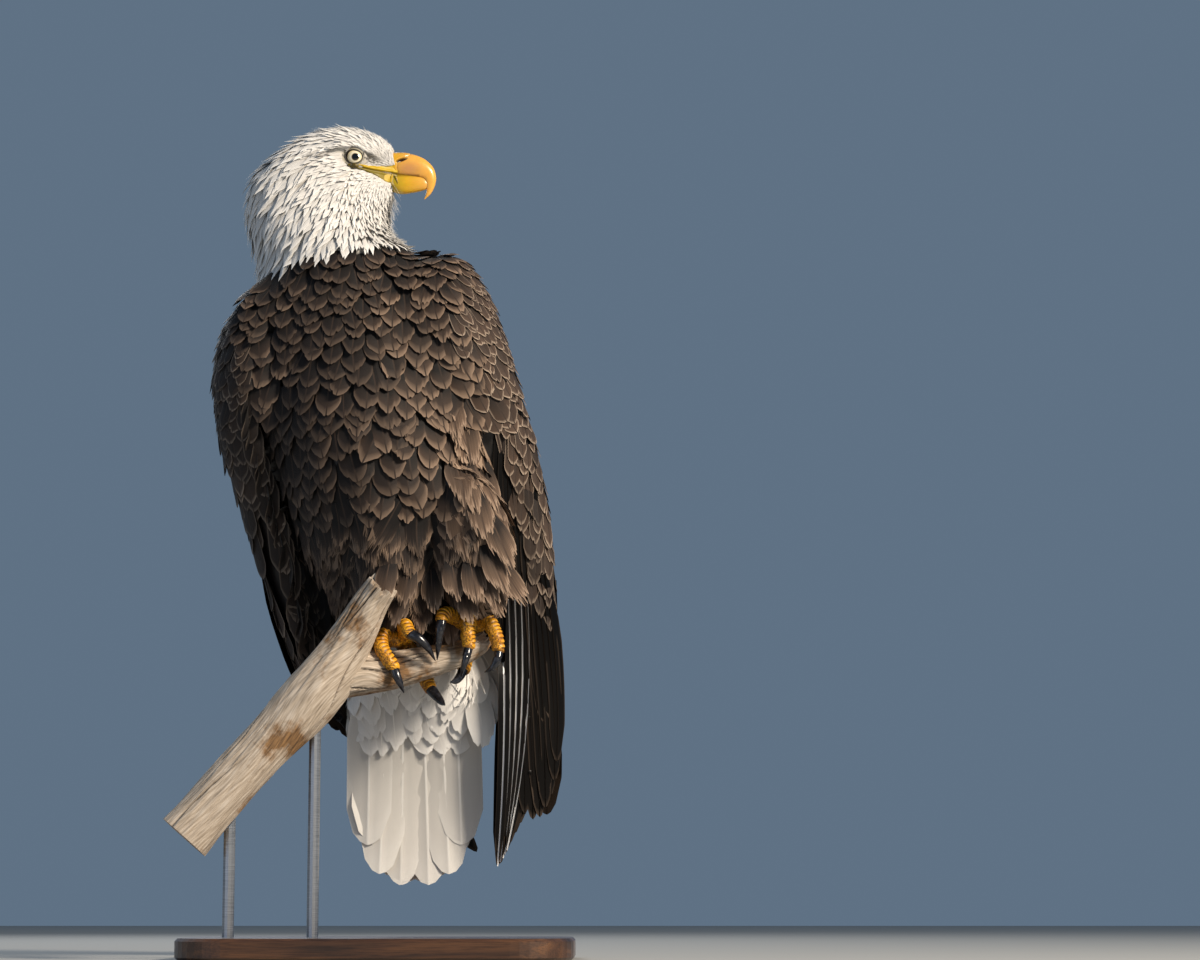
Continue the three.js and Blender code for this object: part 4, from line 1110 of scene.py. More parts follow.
# The other rows: name, wing, first and last root, first and last tip, first and last bow, the way they
# are thrown, their number, width, lift and base, in millimetres.
flight = [
    ("secondaries_left", "left", [150, 118, 425], [128, 60, 400], [163, 100, 150], [188, 150, 225],
     [6, 0, 0], [8, 0, 0], (-1, 0, 0), 8, 46, 0.7, -1.0),
    ("secondaries_left_inner", "left", [140, 118, 420], [120, 60, 410], [160, 100, 165], [186, 128, 238],
     [0, 0, 0], [0, 0, 0], (1, 0, 0), 6, 44, 0.5, -1.5),
    ("primaries_left", "left", [150, 20, 372], [122, 10, 372], [128, 60, 112], [116, 80, 96],
     [10, 0, 0], [5, 0, 0], (0, 1, 0), 5, 15, 1.0, -1.0),
    ("primaries_left_inner", "left", [128, 20, 350], [150, 40, 350], [119, 84, 98], [140, 88, 140],
     [0, 0, 0], [0, 0, 0], (0, -1, 0), 5, 22, 0.6, -1.5),
    ("secondaries_right", "right", [-50, 130, 420], [-100, 50, 420], [18, 130, 212], [-40, 84, 262],
     [0, 0, 0], [0, 0, 0], (1, 0, 0), 8, 44, 0.7, -1.5),
    ("secondaries_right_front", "right", [-88, 20, 330], [-60, 60, 330], [10, 120, 205], [-30, 70, 250],
     [0, 0, 0], [0, 0, 0], (0, 1, 0), 5, 34, 0.6, -1.0),
    ("primaries_right", "right", [-40, 60, 300], [-70, 50, 320], [40, 120, 150], [92, 126, 112],
     [0, 0, 0], [0, 0, 0], (0, 1, 0), 5, 22, 0.8, -1.0),
    ("primaries_right_back", "right", [-40, 60, 300], [-70, 50, 320], [50, 120, 150], [94, 126, 112],
     [0, 0, 0], [0, 0, 0], (0, -1, 0), 5, 24, 0.8, -1.0)]
for name, side, root_1, root_n, tip_1, tip_n, bow_1, bow_n, way, count, width, lift, base in flight:
    piece = quills(name, wings[side], row(root_1, root_n, count), row(tip_1, tip_n, count),
                   row(bow_1, bow_n, count), way, width, lift,
                   primary_vane if name == "primaries_left" else black_vane, base=base)
    if name in ("primaries_left", "primaries_right"):
        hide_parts("wingtip_" + side)


# ---- Tail. Twelve broad white tail feathers in a shallow fan, the middle ones longest, and six that show
# under them in front, with rounded white coverts over their roots and loose plumes where the fan starts.

def tail_coat():
    """The fan, front and back, and its coverts. Tips and roots are given for the left half, from the
    middle out, and mirrored; every other feather shows in front, and there they reach 6 mm lower."""
    tail = Hull(*fused(["tail"], 3.2 * MM, 0.5 * MM, 6))
    middle = 29
    mirror, offset = np.array([-1, 1, 1]), np.array([2 * middle, 0, 0])
    back_tips = np.array([[34, 97, 80], [44, 96, 81], [55, 94, 85], [66, 91, 93], [74, 88, 106],
                          [79, 85, 124]])
    back_roots = np.array([[32, 60, 296], [39, 60, 296], [48, 60, 296], [57, 60, 294], [66, 60, 292],
                           [74, 60, 290]])
    under_tips, under_roots = back_tips[1::2] - [0, 0, 6], back_roots[1::2]
    for name, tips, roots, way, turn, width in (
            ("tail_feathers_under", under_tips, under_roots, (0, 1, 0), 1, 50),
            ("tail_feathers_back", back_tips, back_roots, (0, -1, 0), -1, 40)):
        starts, ends = np.vstack([roots, roots * mirror + offset]), np.vstack([tips, tips * mirror + offset])
        rank = np.argsort(np.abs(ends[:, 0] - middle), kind="stable")[::turn]
        piece = quills(name, tail, starts[rank], ends[rank], np.zeros((len(ends), 3)), way, width, 0.6,
                       white_quill, tip=0.24, tone=0.6, taper=0.05, base=-3.5, ridge=0.5 * MM)
    random = np.random.default_rng(41)
    candidates = tail.scatter(7000, random)
    candidates = candidates[(candidates[:, 2] > 244 * MM) & (candidates[:, 0] < 88 * MM)]

    def style(place):
        """Coverts 25 mm wide and twice as long, all bright."""
        return np.full(len(place), 25 * MM), np.full(len(place), 2.1), np.full(len(place), 1.3)

    piece = scallops("tail_coverts", tail, candidates, down_body, style, white_vane, random, lift=3 * MM,
                     sink=0.5 * MM, tilt=0.16, fray=0.04, splits=0.15, split_depth=0.1)
    return tail


def undertail_plumes():
    """Loose white plumes under the tail's root: rounded ones that hang out at the bird's left, and wisps."""
    random = np.random.default_rng(61)
    root = np.array([[98, 50, 318], [89, 44, 312], [86, 44, 296], [94, 48, 330], [80, 44, 330]]) * MM
    tip = np.array([[115, 56, 250], [109, 50, 240], [102, 46, 218], [121, 60, 264], [96, 40, 262]]) * MM
    t = np.linspace(0, 1, 7)[None, :, None]
    line = root[:, None] * (1 - t) + tip[:, None] * t + np.array([5, -6, 0]) * MM * 4 * t * (1 - t)
    up = np.broadcast_to(unit(np.array([0.1, -1, 0.1])), line.shape)
    n = len(root)
    trim = frayed(round_tip(contour_across, 0.36), n, random, 0.03, splits=0.1, depth=0.08)
    piece = vanes("undertail_plumes", line, up, contour_half(np.full(n, 30 * MM), 7), trim, white_vane,
                  np.ones(n), contour_rows, contour_across)
    n = 120
    side = random.uniform(0, 1, n)
    start = np.stack([34 + 60 * side, 38 + 8 * side, 318 - 20 * random.uniform(0, 1, n)], -1) * MM
    way = unit(np.stack([random.normal(-0.35, 0.45, n), random.normal(-0.25, 0.2, n), -np.ones(n)], -1))
    length = random.uniform(22, 46, n)[:, None, None] * MM
    curl = np.stack([random.normal(0, 7, n), random.normal(-3, 3, n), 0 * side], -1)[:, None] * MM
    line = start[:, None] + way[:, None] * length * t + curl * t ** 2
    up = np.broadcast_to(unit(np.cross(way, np.cross([0, -1, 0.1], way)))[:, None], line.shape)
    half = np.array([0.8, 1.5, 1.7, 1.5, 1.1, 0.7, 0.25]) * MM * np.ones((n, 1))
    piece = vanes("undertail_wisps", line, up, half, np.zeros((n, 5)), white_vane,
                  random.uniform(0.75, 1, n), hackle_rows, hackle_across)


# Its grey deep colour is painted shade at the roots, under the feathers over them.
white_quill = feather_keratin("white tail feather", "#d4d1cb", "#e4e1db", "#f4f1eb", "#faf8f3", "#fffdf8",
                              barb_pitch=1.0 * MM, barb_depth=0.2, shaft_width=0.035, roughness=0.6)
tail = tail_coat()
undertail_plumes()


# ---- Skin. One skin under the whole coat, inside it by the coat's depth, marked white and brown as the
# feathers are, with the bare grey-yellow lore and a rounded lid round each eye.

def whiteness(points):
    """1 on the white head, neck and tail, 0 on the brown body, with the same border as the coat."""
    x, y, z = points.T
    near = tail.height(points)
    on_tail = (z < 325 * MM) & (near < 5 * MM) & clear_of_wings(points, 2.5 * MM)
    low = (z < 200 * MM) & (near < 8 * MM) & (x < 108 * MM) & (y < 108 * MM)
    return np.maximum(ramp(border_height(points), 0, 8 * MM), on_tail | low)


def lids(side):
    """The lids of one eye, P(a, s): part of a ball round the eyeball, 1.2 mm larger, from a rim that is
    turned in on to the eyeball at 8.2 mm from its sideways axis out to 13.4 mm. The opening is wider than
    it is high, and the upper lid droops."""
    a, s = np.linspace(0, 2 * np.pi, 96, endpoint=False)[:, None], np.linspace(0, 1, 13)[None]
    reach = (8.2 + 5.2 * s) * MM
    droop = np.where(np.sin(a) > 0, (0.08 + 0.1 * np.cos(a)) * (1 - s) * np.abs(np.sin(a)) ** 0.5, 0)
    ahead, above = reach * np.cos(a), reach * np.sin(a) * (0.80 + 0.18 * s - droop)
    shell = np.sqrt(lid_radius ** 2 - np.minimum(np.hypot(ahead, above), 13.5 * MM) ** 2)
    over = -2.2 * MM * np.clip(1 - s / 0.16, 0, 1) ** 2
    points = np.stack([eye_x + ahead, head_middle + side * (eye_spread + shell + over), eye_z + above], -1)
    points = points.reshape(-1, 3)
    ring = np.arange(12)
    seam = np.stack([95 * 13 + ring, ring, ring + 1, 95 * 13 + ring + 1], -1)
    faces = np.vstack([grid_faces(96, 13, False), seam])
    marks = np.stack([0.75 + 0 * s + 0 * a, ramp(-s, -0.75, -0.3) + 0 * a, 0 * s + 0 * a,
                      ramp(-s, -0.36, -0.2) + 0 * a], -1).reshape(-1, 4)
    return points, [faces if side < 0 else faces[:, ::-1]], marks


def mouth_flesh(side):
    """The bare flesh at one corner of the mouth, P(u, v), with u forward to the bill and v up between the
    edges of the bare part: it lies on the head, cut 1.7 mm deep along the line of the mouth, and rolls
    into a lip 0.9 mm high above and below that line."""
    u, v = np.linspace(0, 1, 90)[:, None], np.linspace(-0.06, 1.06, 46)[None]
    x = (mouth_x[0] + u * (13.5 * MM - mouth_x[0])) + 0 * v
    low, line, high = (np.interp(x, mouth_x, edge) for edge in (mouth_low, mouth_line, mouth_high))
    z = low + v * (high - low)
    flat = np.stack([np.minimum(x, 1 * MM), head_middle + side * 300 * MM + 0 * x, z], -1).reshape(-1, 3)
    place, normal = body.struck(flat, (0, -side, 0))
    taper = ramp(x, -8 * MM, 11 * MM).ravel()
    place[:, 0] = x.ravel()
    end = 8.9 * MM + 2.6 * MM * ramp((z - line).ravel(), -1.5 * MM, 0.5 * MM)
    place[:, 1] += side * taper * (end - np.abs(place[:, 1] - head_middle))
    away = (z - line).ravel() / MM
    edge = np.minimum(np.minimum(v, 1 - v) + 0 * u, (1 - u) * 1.4 - 0.1)
    rolled = 1.6 * (1 - ramp(edge, -0.1, 0.06)).ravel()
    relief = 0.9 * bell(np.abs(away), 1.9, 1.3) - 1.7 * bell(away, 0, 0.7) - rolled
    points = place + normal * ((relief - 0.2) * MM)[:, None]
    faces = grid_faces(90, 46, False)
    one = np.ones_like(away)
    # The last mark is painted shade along the line of the mouth.
    marks = np.stack([0 * one, 0 * one, np.where(away > 0, 1.0, 0.55 + 0.12 * u.repeat(46, 1).ravel()),
                      bell(away, 0, 0.6) * 0.9], -1)
    return points, [faces[:, ::-1] if side < 0 else faces], marks


def skin():
    """One skin under the whole coat. It lies under the hull by 0.9 mm at the bill, 6 mm at the neck,
    6.5 mm on the body and 16 mm on the tail, but never by over 0.45 of the thickness there. The lids and
    the bare flesh of the mouth lie on it."""
    points, triangles = fused(["head", "neck", "trunk", "thigh_right", "thigh_left", "tail", "wing_left",
                               "wing_right"], 4.4 * MM, 0.7 * MM, 10,
                              fine=lambda p: on_head(p) & (p[:, 0] > -80 * MM), cuts=2)
    points = face_form(points)
    hull = Hull(points, triangles)
    reach = np.linalg.norm(points - bill_root, axis=1)
    depth = np.interp(reach, np.array([15, 45, 85, 125]) * MM, np.array([0.9, 1.6, 3.2, 6.0]) * MM)
    depth = np.where(on_head(points), depth, 6.5 * MM)
    depth = np.where((points[:, 2] < 290 * MM) & (tail.height(points) < 5 * MM), 16 * MM, depth)
    x, y, z = points.T
    low, line, high = (np.interp(x, mouth_x, edge) for edge in (mouth_low, mouth_line, mouth_high))
    mouth = ramp(z, low - 0.5 * MM, low + 2 * MM) * ramp(-z, -high - 0.5 * MM, -high + 2 * MM)
    mouth = mouth * (x > -38 * MM)
    depth += 1.8 * MM * mouth * (np.abs(y - head_middle) > 7 * MM)
    start = points - hull.normals * 0.5 * MM
    wall = [hull.tree.ray_cast(p, -q) for p, q in zip(start.tolist(), hull.normals)]
    thick = np.array([w[3] if w[0] else 0.02 for w in wall])
    sunk = points - hull.normals * np.minimum(depth, 0.45 * thick)[:, None]
    near_eye = bell(np.hypot(x - eye_x, z - eye_z), 9 * MM, 3 * MM) * (np.abs(y - head_middle) > 14 * MM)
    lore = bell(x, -8 * MM, 14 * MM) * bell(z, 827 * MM, 9 * MM) * (np.abs(y - head_middle) > 8 * MM)
    # The fourth mark is painted shade along the line of the mouth.
    marks = np.stack([whiteness(points) * (1 - 0.35 * lore), near_eye, mouth,
                      mouth * bell(z, line, 1.5 * MM)], -1)
    parts = [(sunk, [triangles], marks), lids(-1), lids(1), mouth_flesh(-1), mouth_flesh(1)]
    points, faces = joined([(p, f) for p, f, _ in parts])
    marks = np.vstack([m for *_, m in parts])
    piece = shape("skin", points, faces, bird_skin(), {"marks": marks[:, :3], "dark": marks[:, 3]})
    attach(piece, "root")
    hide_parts("head", "neck", "trunk", "tail", "thigh_right", "thigh_left", "wing_left",
                "wing_right")


def bird_skin():
    """Bird skin under down: dark where the coat is brown, chalky where it is white, and bare, finely
    pebbled and olive round the eyes, yellow at the mouth, with dark edges to the lids and painted shade
    along the line of the mouth."""
    material, tree, shader = finish_of("bird skin", Roughness=0.5)
    marks = node(tree, "Attribute", attribute_name="marks").outputs["Vector"]
    marks = node(tree, "SeparateXYZ", {"Vector": marks})
    dark = node(tree, "Attribute", attribute_name="dark").outputs["Fac"]
    place = node(tree, "TexCoord").outputs["Object"]
    pebble = node(tree, "TexVoronoi", {"Vector": place, "Scale": 1100.0})
    colour = node(tree, "MixRGB", {"Fac": marks.outputs["X"], "Color1": linear("#120e0d"),
                                   "Color2": linear("#d2cdc4")})
    colour = node(tree, "MixRGB", {"Fac": marks.outputs["Y"], "Color1": colour.outputs["Color"],
                                   "Color2": linear("#8d8775")})
    mouth = node(tree, "ValToRGB", {"Fac": marks.outputs["Z"]},
                 stops=[(0.0, "#70660f"), (1.0, "#c2a00e"), (0.55, "#70641a"), (0.85, "#a58a0c")])
    at_mouth = node(tree, "Math", {0: marks.outputs["Z"], 1: 0.3}, operation="GREATER_THAN").outputs[0]
    colour = node(tree, "MixRGB", {"Fac": at_mouth, "Color1": colour.outputs["Color"],
                                   "Color2": mouth.outputs["Color"]})
    # The dark mark: the dark edges of the lids, and painted shade along the line of the mouth.
    colour = node(tree, "MixRGB", {"Fac": dark, "Color1": colour.outputs["Color"],
                                   "Color2": linear("#1a130c")})
    tree.links.new(colour.outputs["Color"], shader.inputs["Base Color"])
    bump = node(tree, "Bump", {"Height": pebble.outputs["Distance"], "Strength": 0.3, "Distance": 0.0003})
    tree.links.new(bump.outputs["Normal"], shader.inputs["Normal"])
    return material


skin()


# ---- Eyes. Glass eyes, as a taxidermist sets: a ball with a slightly domed clear front over a
# straw-coloured iris with a dark rim and a round black pupil.

def eye_glass():
    """Painted glass eye: colours by the distance from the eye's axis, under a wet, clear polish."""
    material, tree, shader = finish_of("glass eye", Roughness=0.06, Coat_Weight=1.0, Coat_Roughness=0.02,
                                       Coat_IOR=1.5)
    ring = node(tree, "Attribute", attribute_name="ring").outputs["Vector"]
    ring = node(tree, "SeparateXYZ", {"Vector": ring})
    rays = node(tree, "CombineXYZ", {"X": ring.outputs["Y"], "Y": 0.0, "Z": ring.outputs["X"]})
    rays = node(tree, "Mapping", {"Vector": rays.outputs["Vector"], "Scale": (7.0, 1.0, 1.2)})
    fibre = node(tree, "TexNoise", {"Vector": rays.outputs["Vector"], "Scale": 3.0, "Detail": 4.0})
    iris = node(tree, "ValToRGB", {"Fac": fibre.outputs["Fac"]}, stops=[(0.3, "#d8cda8"), (0.7, "#f4eee0")])
    band = node(tree, "ValToRGB", {"Fac": ring.outputs["X"]},
                stops=[(0.0, "#020203"), (1.0, "#0b0906"), (0.262, "#030304"), (0.282, "#8f7a45"),
                       (0.34, "#ffffff"), (0.60, "#f7ecd0"), (0.665, "#5a4727"), (0.70, "#120d08")])
    colour = node(tree, "MixRGB", {"Fac": 1.0, "Color1": iris.outputs["Color"],
                                   "Color2": band.outputs["Color"]}, blend_type="MULTIPLY")
    tree.links.new(colour.outputs["Color"], shader.inputs["Base Color"])
    return material


def eyeball(side):
    """P(b, a) = centre + R(b) (cos b X + sin b (cos a Y + sin a Z)) about the axis X. R is the eye's
    radius, and within 40 degrees of the axis the front domes out by 0.7 mm (1 - (b / 40 degrees)²)
    more. The third result is the share of the radius from the axis, sin b, and the angle a."""
    rings, around = 71, 96
    b = np.linspace(0, np.pi, rings + 2)[1:-1, None]
    a = np.linspace(0, 2 * np.pi, around, endpoint=False)[None]
    dome = 0.7 * MM
    radius = eye_radius + dome * np.clip(1 - (b / math.radians(40)) ** 2, 0, 1)
    axis = unit(np.array([0.13, side, -0.08]))
    up = unit(np.cross(np.cross(axis, [0, 0, 1.0]), axis))
    over = np.cross(axis, up)
    middle = np.array([eye_x, head_middle + side * eye_spread, eye_z])
    rim = np.cos(a)[..., None] * up + np.sin(a)[..., None] * over
    ring = np.cos(b)[..., None] * axis + np.sin(b)[..., None] * rim
    points = np.vstack([(middle + radius[..., None] * ring).reshape(-1, 3),
                        middle + axis * (eye_radius + dome), middle - axis * eye_radius])
    count = rings * around
    first, last = np.arange(around), np.arange(around) + count - around
    caps = [np.stack([np.roll(first, -1), first, np.full(around, count)], -1),
            np.stack([last, np.roll(last, -1), np.full(around, count + 1)], -1)]
    tilt, turn = (np.broadcast_to(angle, (rings, around)).ravel() for angle in (b, a))
    # Behind the equator the share is taken to 1, which is painted black.
    reach = np.minimum(np.sin(tilt) * np.where(np.cos(tilt) > 0.001, 1, 9), 1)
    paint = np.stack([np.append(reach, [0, 1]), np.append(turn, [0, 0]), np.zeros(count + 2)], -1)
    return points, [grid_faces(rings, around, True), *caps], paint


glass = eye_glass()
for name, side in (("eye_right", -1), ("eye_left", 1)):
    points, faces, ring = eyeball(side)
    eye = shape("glass_" + name, points, faces, glass, {"ring": ring})
    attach(eye, "root")
    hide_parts(name)


# ---- Bill. Deep yellow horn, polished by use: an upper half that hooks down over the lower, with a
# softer cere over its root that ends in a raised edge and is pierced by a slanting nostril.

def horn_bill():
    """Bill horn: waxy golden yellow, deepest on the hook, tan before the cere and olive at the gape,
    clouded by a fifth, with painted shade in the nostril, the folds and the line of the mouth."""
    material, tree, shader = finish_of("bill horn", Roughness=0.3, Subsurface_Weight=0.08,
                                       Subsurface_Scale=0.004, Coat_Weight=0.25, Coat_Roughness=0.15)
    place = node(tree, "TexCoord").outputs["Object"]
    tint = node(tree, "Attribute", attribute_name="horn").outputs["Vector"]
    part = node(tree, "SeparateXYZ", {"Vector": tint})
    along = node(tree, "ValToRGB", {"Fac": part.outputs["X"]},
                 stops=[(0.0, "#a08c10"), (1.0, "#e8ad48"), (0.2, "#d2a21c"), (0.5, "#dfa548"),
                        (0.8, "#e6aa46")])
    flesh = node(tree, "MixRGB", {"Fac": part.outputs["Y"], "Color1": along.outputs["Color"],
                                  "Color2": linear("#c08a55")})
    # The tint's third part mixes in painted shade: the nostril, the folds and the mouth line.
    dark = node(tree, "MixRGB", {"Fac": part.outputs["Z"], "Color1": flesh.outputs["Color"],
                                 "Color2": linear("#2a1607")})
    cloud = node(tree, "TexNoise", {"Vector": place, "Scale": 120.0, "Detail": 4.0})
    shade = node(tree, "MapRange", {"Value": cloud.outputs["Fac"], "To Min": 0.84, "To Max": 1.06})
    colour = node(tree, "MixRGB", {"Fac": 1.0, "Color1": dark.outputs["Color"],
                                   "Color2": shade.outputs["Result"]}, blend_type="MULTIPLY")
    tree.links.new(colour.outputs["Color"], shader.inputs["Base Color"])
    bump = node(tree, "Bump", {"Height": cloud.outputs["Fac"], "Strength": 0.15, "Distance": 0.0004})
    tree.links.new(bump.outputs["Normal"], shader.inputs["Normal"])
    return material


def beak_half(stations, rings, around, square_top, square_foot):
    """One half of the bill. Stations are x and z of its upper edge, x and z of its lower edge, and half
    the width: P(t, a) = middle + cos a (upper - middle) + half width |sin a|^p in Y, p by top or foot."""
    path = smooth_path(stations, rings) * MM
    upper, lower, half = path[:, None, 0:2], path[:, None, 2:4], path[:, None, 4]
    a = np.linspace(0, 2 * np.pi, around, endpoint=False)[None, :]
    power = np.where(np.cos(a) > 0, square_top, square_foot)
    middle, rise = (upper + lower) / 2, (upper - lower) / 2
    flat = middle + rise * np.cos(a)[..., None]
    lateral = np.sign(np.sin(a)) * np.abs(np.sin(a)) ** power * half
    return np.stack([flat[..., 0], head_middle + lateral, flat[..., 1]], -1)


upper_stations = [[-12, 836, -12, 818, 11.6], [7, 840, 7, 816.4, 11.4], [24, 839.9, 22, 815.0, 10.2],
                  [39.5, 834.8, 34, 813.9, 8.6], [49.6, 825.5, 40.5, 812.2, 6.8],
                  [53, 815, 42.6, 807.5, 5.2], [51.7, 805.3, 43.2, 802, 3.7],
                  [47.3, 796.6, 42.4, 796, 2.3], [41, 790.6, 40.6, 791.3, 0.5]]
lower_stations = [[-16, 819, -16, 806.5, 10.4], [0, 819, 0, 801.8, 9.8], [14, 819, 15, 796.9, 8.4],
                  [27, 818, 27.5, 797.9, 6.8], [37, 816, 37, 799.9, 5.4], [42.6, 813.5, 42.6, 801.6, 4.0],
                  [45.6, 811, 45.6, 804, 2.0]]


def closed(points, around):
    """The faces of a grid of rings, each end closed on to its own middle point; returns both."""
    rings = len(points)
    flat = np.vstack([points.reshape(-1, 3), points[0].mean(axis=0), points[-1].mean(axis=0)])
    first, last = np.arange(around), np.arange(around) + (rings - 1) * around
    return flat, [grid_faces(rings, around, True),
                  np.stack([np.roll(first, -1), first, np.full(around, len(flat) - 2)], -1),
                  np.stack([last, np.roll(last, -1), np.full(around, len(flat) - 1)], -1)]


def upper_bill():
    """The upper half and its tints: how far along it, how tan, and how much painted shade. The cere
    stands 0.8 mm over the horn up to an edge with a fold 0.5 mm deep before it, and the nostril is a
    slit that leans 20 degrees, is sunk 2.6 mm and has a rim 0.35 mm high."""
    points = beak_half(upper_stations, 170, 160, 0.8, 0.42)
    x, y, z = np.moveaxis(points, -1, 0)
    edge_z, edge_x = [816, 822, 828.5, 833, 837.5], [13, 12, 12.2, 18, 25.5]
    edge = np.interp(z, np.array(edge_z) * MM, np.array(edge_x) * MM)
    cere = ramp(edge - x, -0.5 * MM, 0.9 * MM)
    slit = np.array([17, 831]) * MM
    lean = math.radians(20)
    u = (x - slit[0]) * math.cos(lean) + (z - slit[1]) * math.sin(lean)
    w = -(x - slit[0]) * math.sin(lean) + (z - slit[1]) * math.cos(lean)
    nostril = np.clip(1.25 - np.hypot(u / (5.4 * MM), w / (1.5 * MM)), 0, 1) ** 0.6
    rim = bell(np.hypot(u / (6.8 * MM), w / (3.0 * MM)), 1, 0.3)
    aside = y - head_middle
    normal = np.stack([0 * x, np.sign(aside) * ramp(np.abs(aside), 1 * MM, 5 * MM), 0.35 + 0 * x], -1)
    fold = bell(x - edge, 0.5 * MM, 0.55 * MM)
    relief = (0.8 * cere + 0.35 * rim * cere - 0.5 * fold - 2.6 * nostril) * MM
    # Painted shade: the nostril, the fold before the cere's edge and the line of the mouth are darkened.
    mouth = bell(z, 815 * MM, 1.4 * MM) * (x < 36 * MM) * 0.5
    tan = (1 - cere) * bell(x, 24 * MM, 13 * MM) * bell(z, 822 * MM, 6.5 * MM) * 0.9
    dark = np.clip(nostril * 1.5 + mouth + 0.35 * fold, 0, 1)
    tint = np.stack([np.clip((x + 4 * MM) / (57 * MM), 0.18, 1), tan, dark], -1)
    return points + normal * relief[..., None], tint


def lower_bill():
    """The lower half and its tints, with painted shade along the line where it meets the upper half."""
    points = beak_half(lower_stations, 110, 128, 0.6, 0.85)
    x, _, z = np.moveaxis(points, -1, 0)
    # Painted shade along the line of the mouth.
    dark = 0.55 * bell(z, 815.5 * MM, 1.6 * MM)
    tint = np.stack([np.clip((x - 9 * MM) / (70 * MM), 0, 0.9), 0 * x, dark], -1)
    return points, tint


bill_finish = horn_bill()
for name, maker, around in (("bill_upper", upper_bill, 160), ("bill_lower", lower_bill, 128)):
    points, tint = maker()
    ends = [tint[0].mean(axis=0), tint[-1].mean(axis=0)]
    points, faces = closed(points, around)
    tints = {"horn": np.vstack([tint.reshape(-1, 3), *ends])}
    half_bill = shape(name + "_horn", points, faces, bill_finish, tints)
    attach(half_bill, "root")
    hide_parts(name)


# ---- Feet. Strong yellow toes: a row of horny plates along the top of each and pebbled pads below,
# three toes curled over the perch and one behind, each ending in a black claw.

def toe(stations, seed):
    """A toe: a swept tube with plates on top, each a step of 1.15 mm, 4.4 mm long and set a little askew,
    and soft pads below, which swell by 0.9 mm every 13 mm. The third result is how deep in a groove."""
    path = smooth_path(stations, 110) * MM
    plate_length = 4.4 * MM
    centres, radius = path[:, :3], path[:, 3:]
    along = np.concatenate([[0], np.cumsum(np.linalg.norm(np.diff(centres, axis=0), axis=1))])[:, None]
    a = np.linspace(0, 2 * np.pi, 56, endpoint=False)[None]
    askew = 0.22 * np.sin(along / (5.3 * MM) + seed) + 0.16 * np.sin(a + 1.7 * seed)
    plate = (along / plate_length + askew) % 1
    ridge = np.minimum(plate / 0.75, 1) * (1 - ramp(plate, 0.8, 1.0))
    over = ramp(np.cos(a), -0.05, 0.45)
    spot = np.stack(np.broadcast_arrays(np.cos(a) * 0.008, np.sin(a) * 0.008, along), -1)
    pebble = np.abs(rough(spot, 2.2 * MM, seed)) * 0.35
    pad = 0.5 + 0.5 * np.sin(along / (13 * MM) * 2 * np.pi + seed)
    radii = radius * 0.95 + (over * 1.15 * ridge + (1 - over) * (pebble + 0.9 * pad)) * MM
    points, faces = swept(centres, radii, reference=(0.3, 0.2, 1))
    groove = (over * (1 - ridge) + (1 - over) * (1 - pebble * 2)) * np.ones_like(radii)
    return points, faces, np.append(np.clip(groove, 0, 1).ravel(), [0.5, 0.5])


# Each shank and its toes, and each claw: stations of x, y, z and radius, in millimetres.
feet = {
    "right": ([[17, -16, 362, 10], [18, -17, 345, 10.4], [20, -20, 326, 11]],
              [[16, -20, 326, 7.5], [0, -15, 328, 7.4], [-14, -17, 322, 7],
               [-24, -21, 312, 6.2], [-26, -21, 309, 5]],
              [[18, -24, 326, 7.5], [2, -40, 330, 7.4], [2, -51, 316, 7.2],
               [13, -53, 298, 6.5], [14.5, -53, 295, 5]],
              [[24, -22, 328, 7.5], [25, -40, 337, 7.6], [26, -52, 338, 7.2],
               [30, -58, 331, 6.4], [31.5, -59, 329, 5]],
              [[22, -16, 324, 8], [32, 0, 312, 8], [42, 3, 294, 7.6],
               [48, -2, 280, 6.8], [50, -4, 277, 5.5]]),
    "left": ([[96, -14, 378, 10], [95, -14, 360, 10.4], [93, -17, 341, 11]],
             [[88, -20, 342, 7.5], [74, -36, 350, 7.6], [66, -47, 351, 7.2],
              [64, -53, 346, 6.4], [63.5, -54, 343, 5]],
             [[92, -20, 342, 7.5], [91, -36, 351, 7.6], [90, -45, 338, 7.2],
              [91, -46, 320, 6.5], [91, -46, 317, 5]],
             [[97, -17, 341, 7.5], [109, -30, 347, 7.4], [118, -36, 331, 7],
              [121, -36, 317, 6.3], [121, -36, 314, 5]],
             [[91, -12, 339, 8], [88, 5, 331, 8], [86, 9, 314, 7.6], [84, 4, 300, 6.8], [83, 2, 297, 5.5]])}
claws = {
    "right": ([[-23, -21, 313, 5.0], [-25, -21, 310, 5.2], [-31, -19, 301, 4.6],
               [-35, -18, 291, 3.2], [-37, -22, 282, 0.5]],
              [[13, -53, 299, 5.0], [14, -53, 296, 5.2], [18, -56, 287, 4.6],
               [22, -55, 278, 3.2], [25, -49, 270, 0.5]],
              [[29, -57, 331, 5.4], [31, -58, 330, 5.6], [40, -61, 325, 5.2],
               [50, -58, 315, 3.6], [57, -49, 303, 0.5]],
              [[49, -3, 279, 5.6], [50, -4, 277, 5.8], [56, -10, 270, 5.2],
               [62, -17, 263, 3.6], [66, -26, 259, 0.5]]),
    "left": ([[64, -53, 346, 5.4], [63.5, -54, 344, 5.6], [62, -57, 333, 5],
              [60, -53, 317, 3.5], [58.5, -44, 304, 0.5]],
             [[91, -46, 320, 5.2], [91, -46, 317, 5.4], [89, -50, 308, 4.8],
              [86, -50, 297, 3.4], [83, -45, 286, 0.5]],
             [[121, -36, 318, 5.0], [121, -36, 315, 5.2], [120, -39, 306, 4.6],
              [115, -40, 297, 3.2], [107, -37, 292, 0.5]],
             [[84, 3, 299, 5.8], [83, 2, 297, 6.0], [80, -5, 290, 5.2],
              [76, -13, 285, 3.6], [71, -22, 283, 0.5]])}


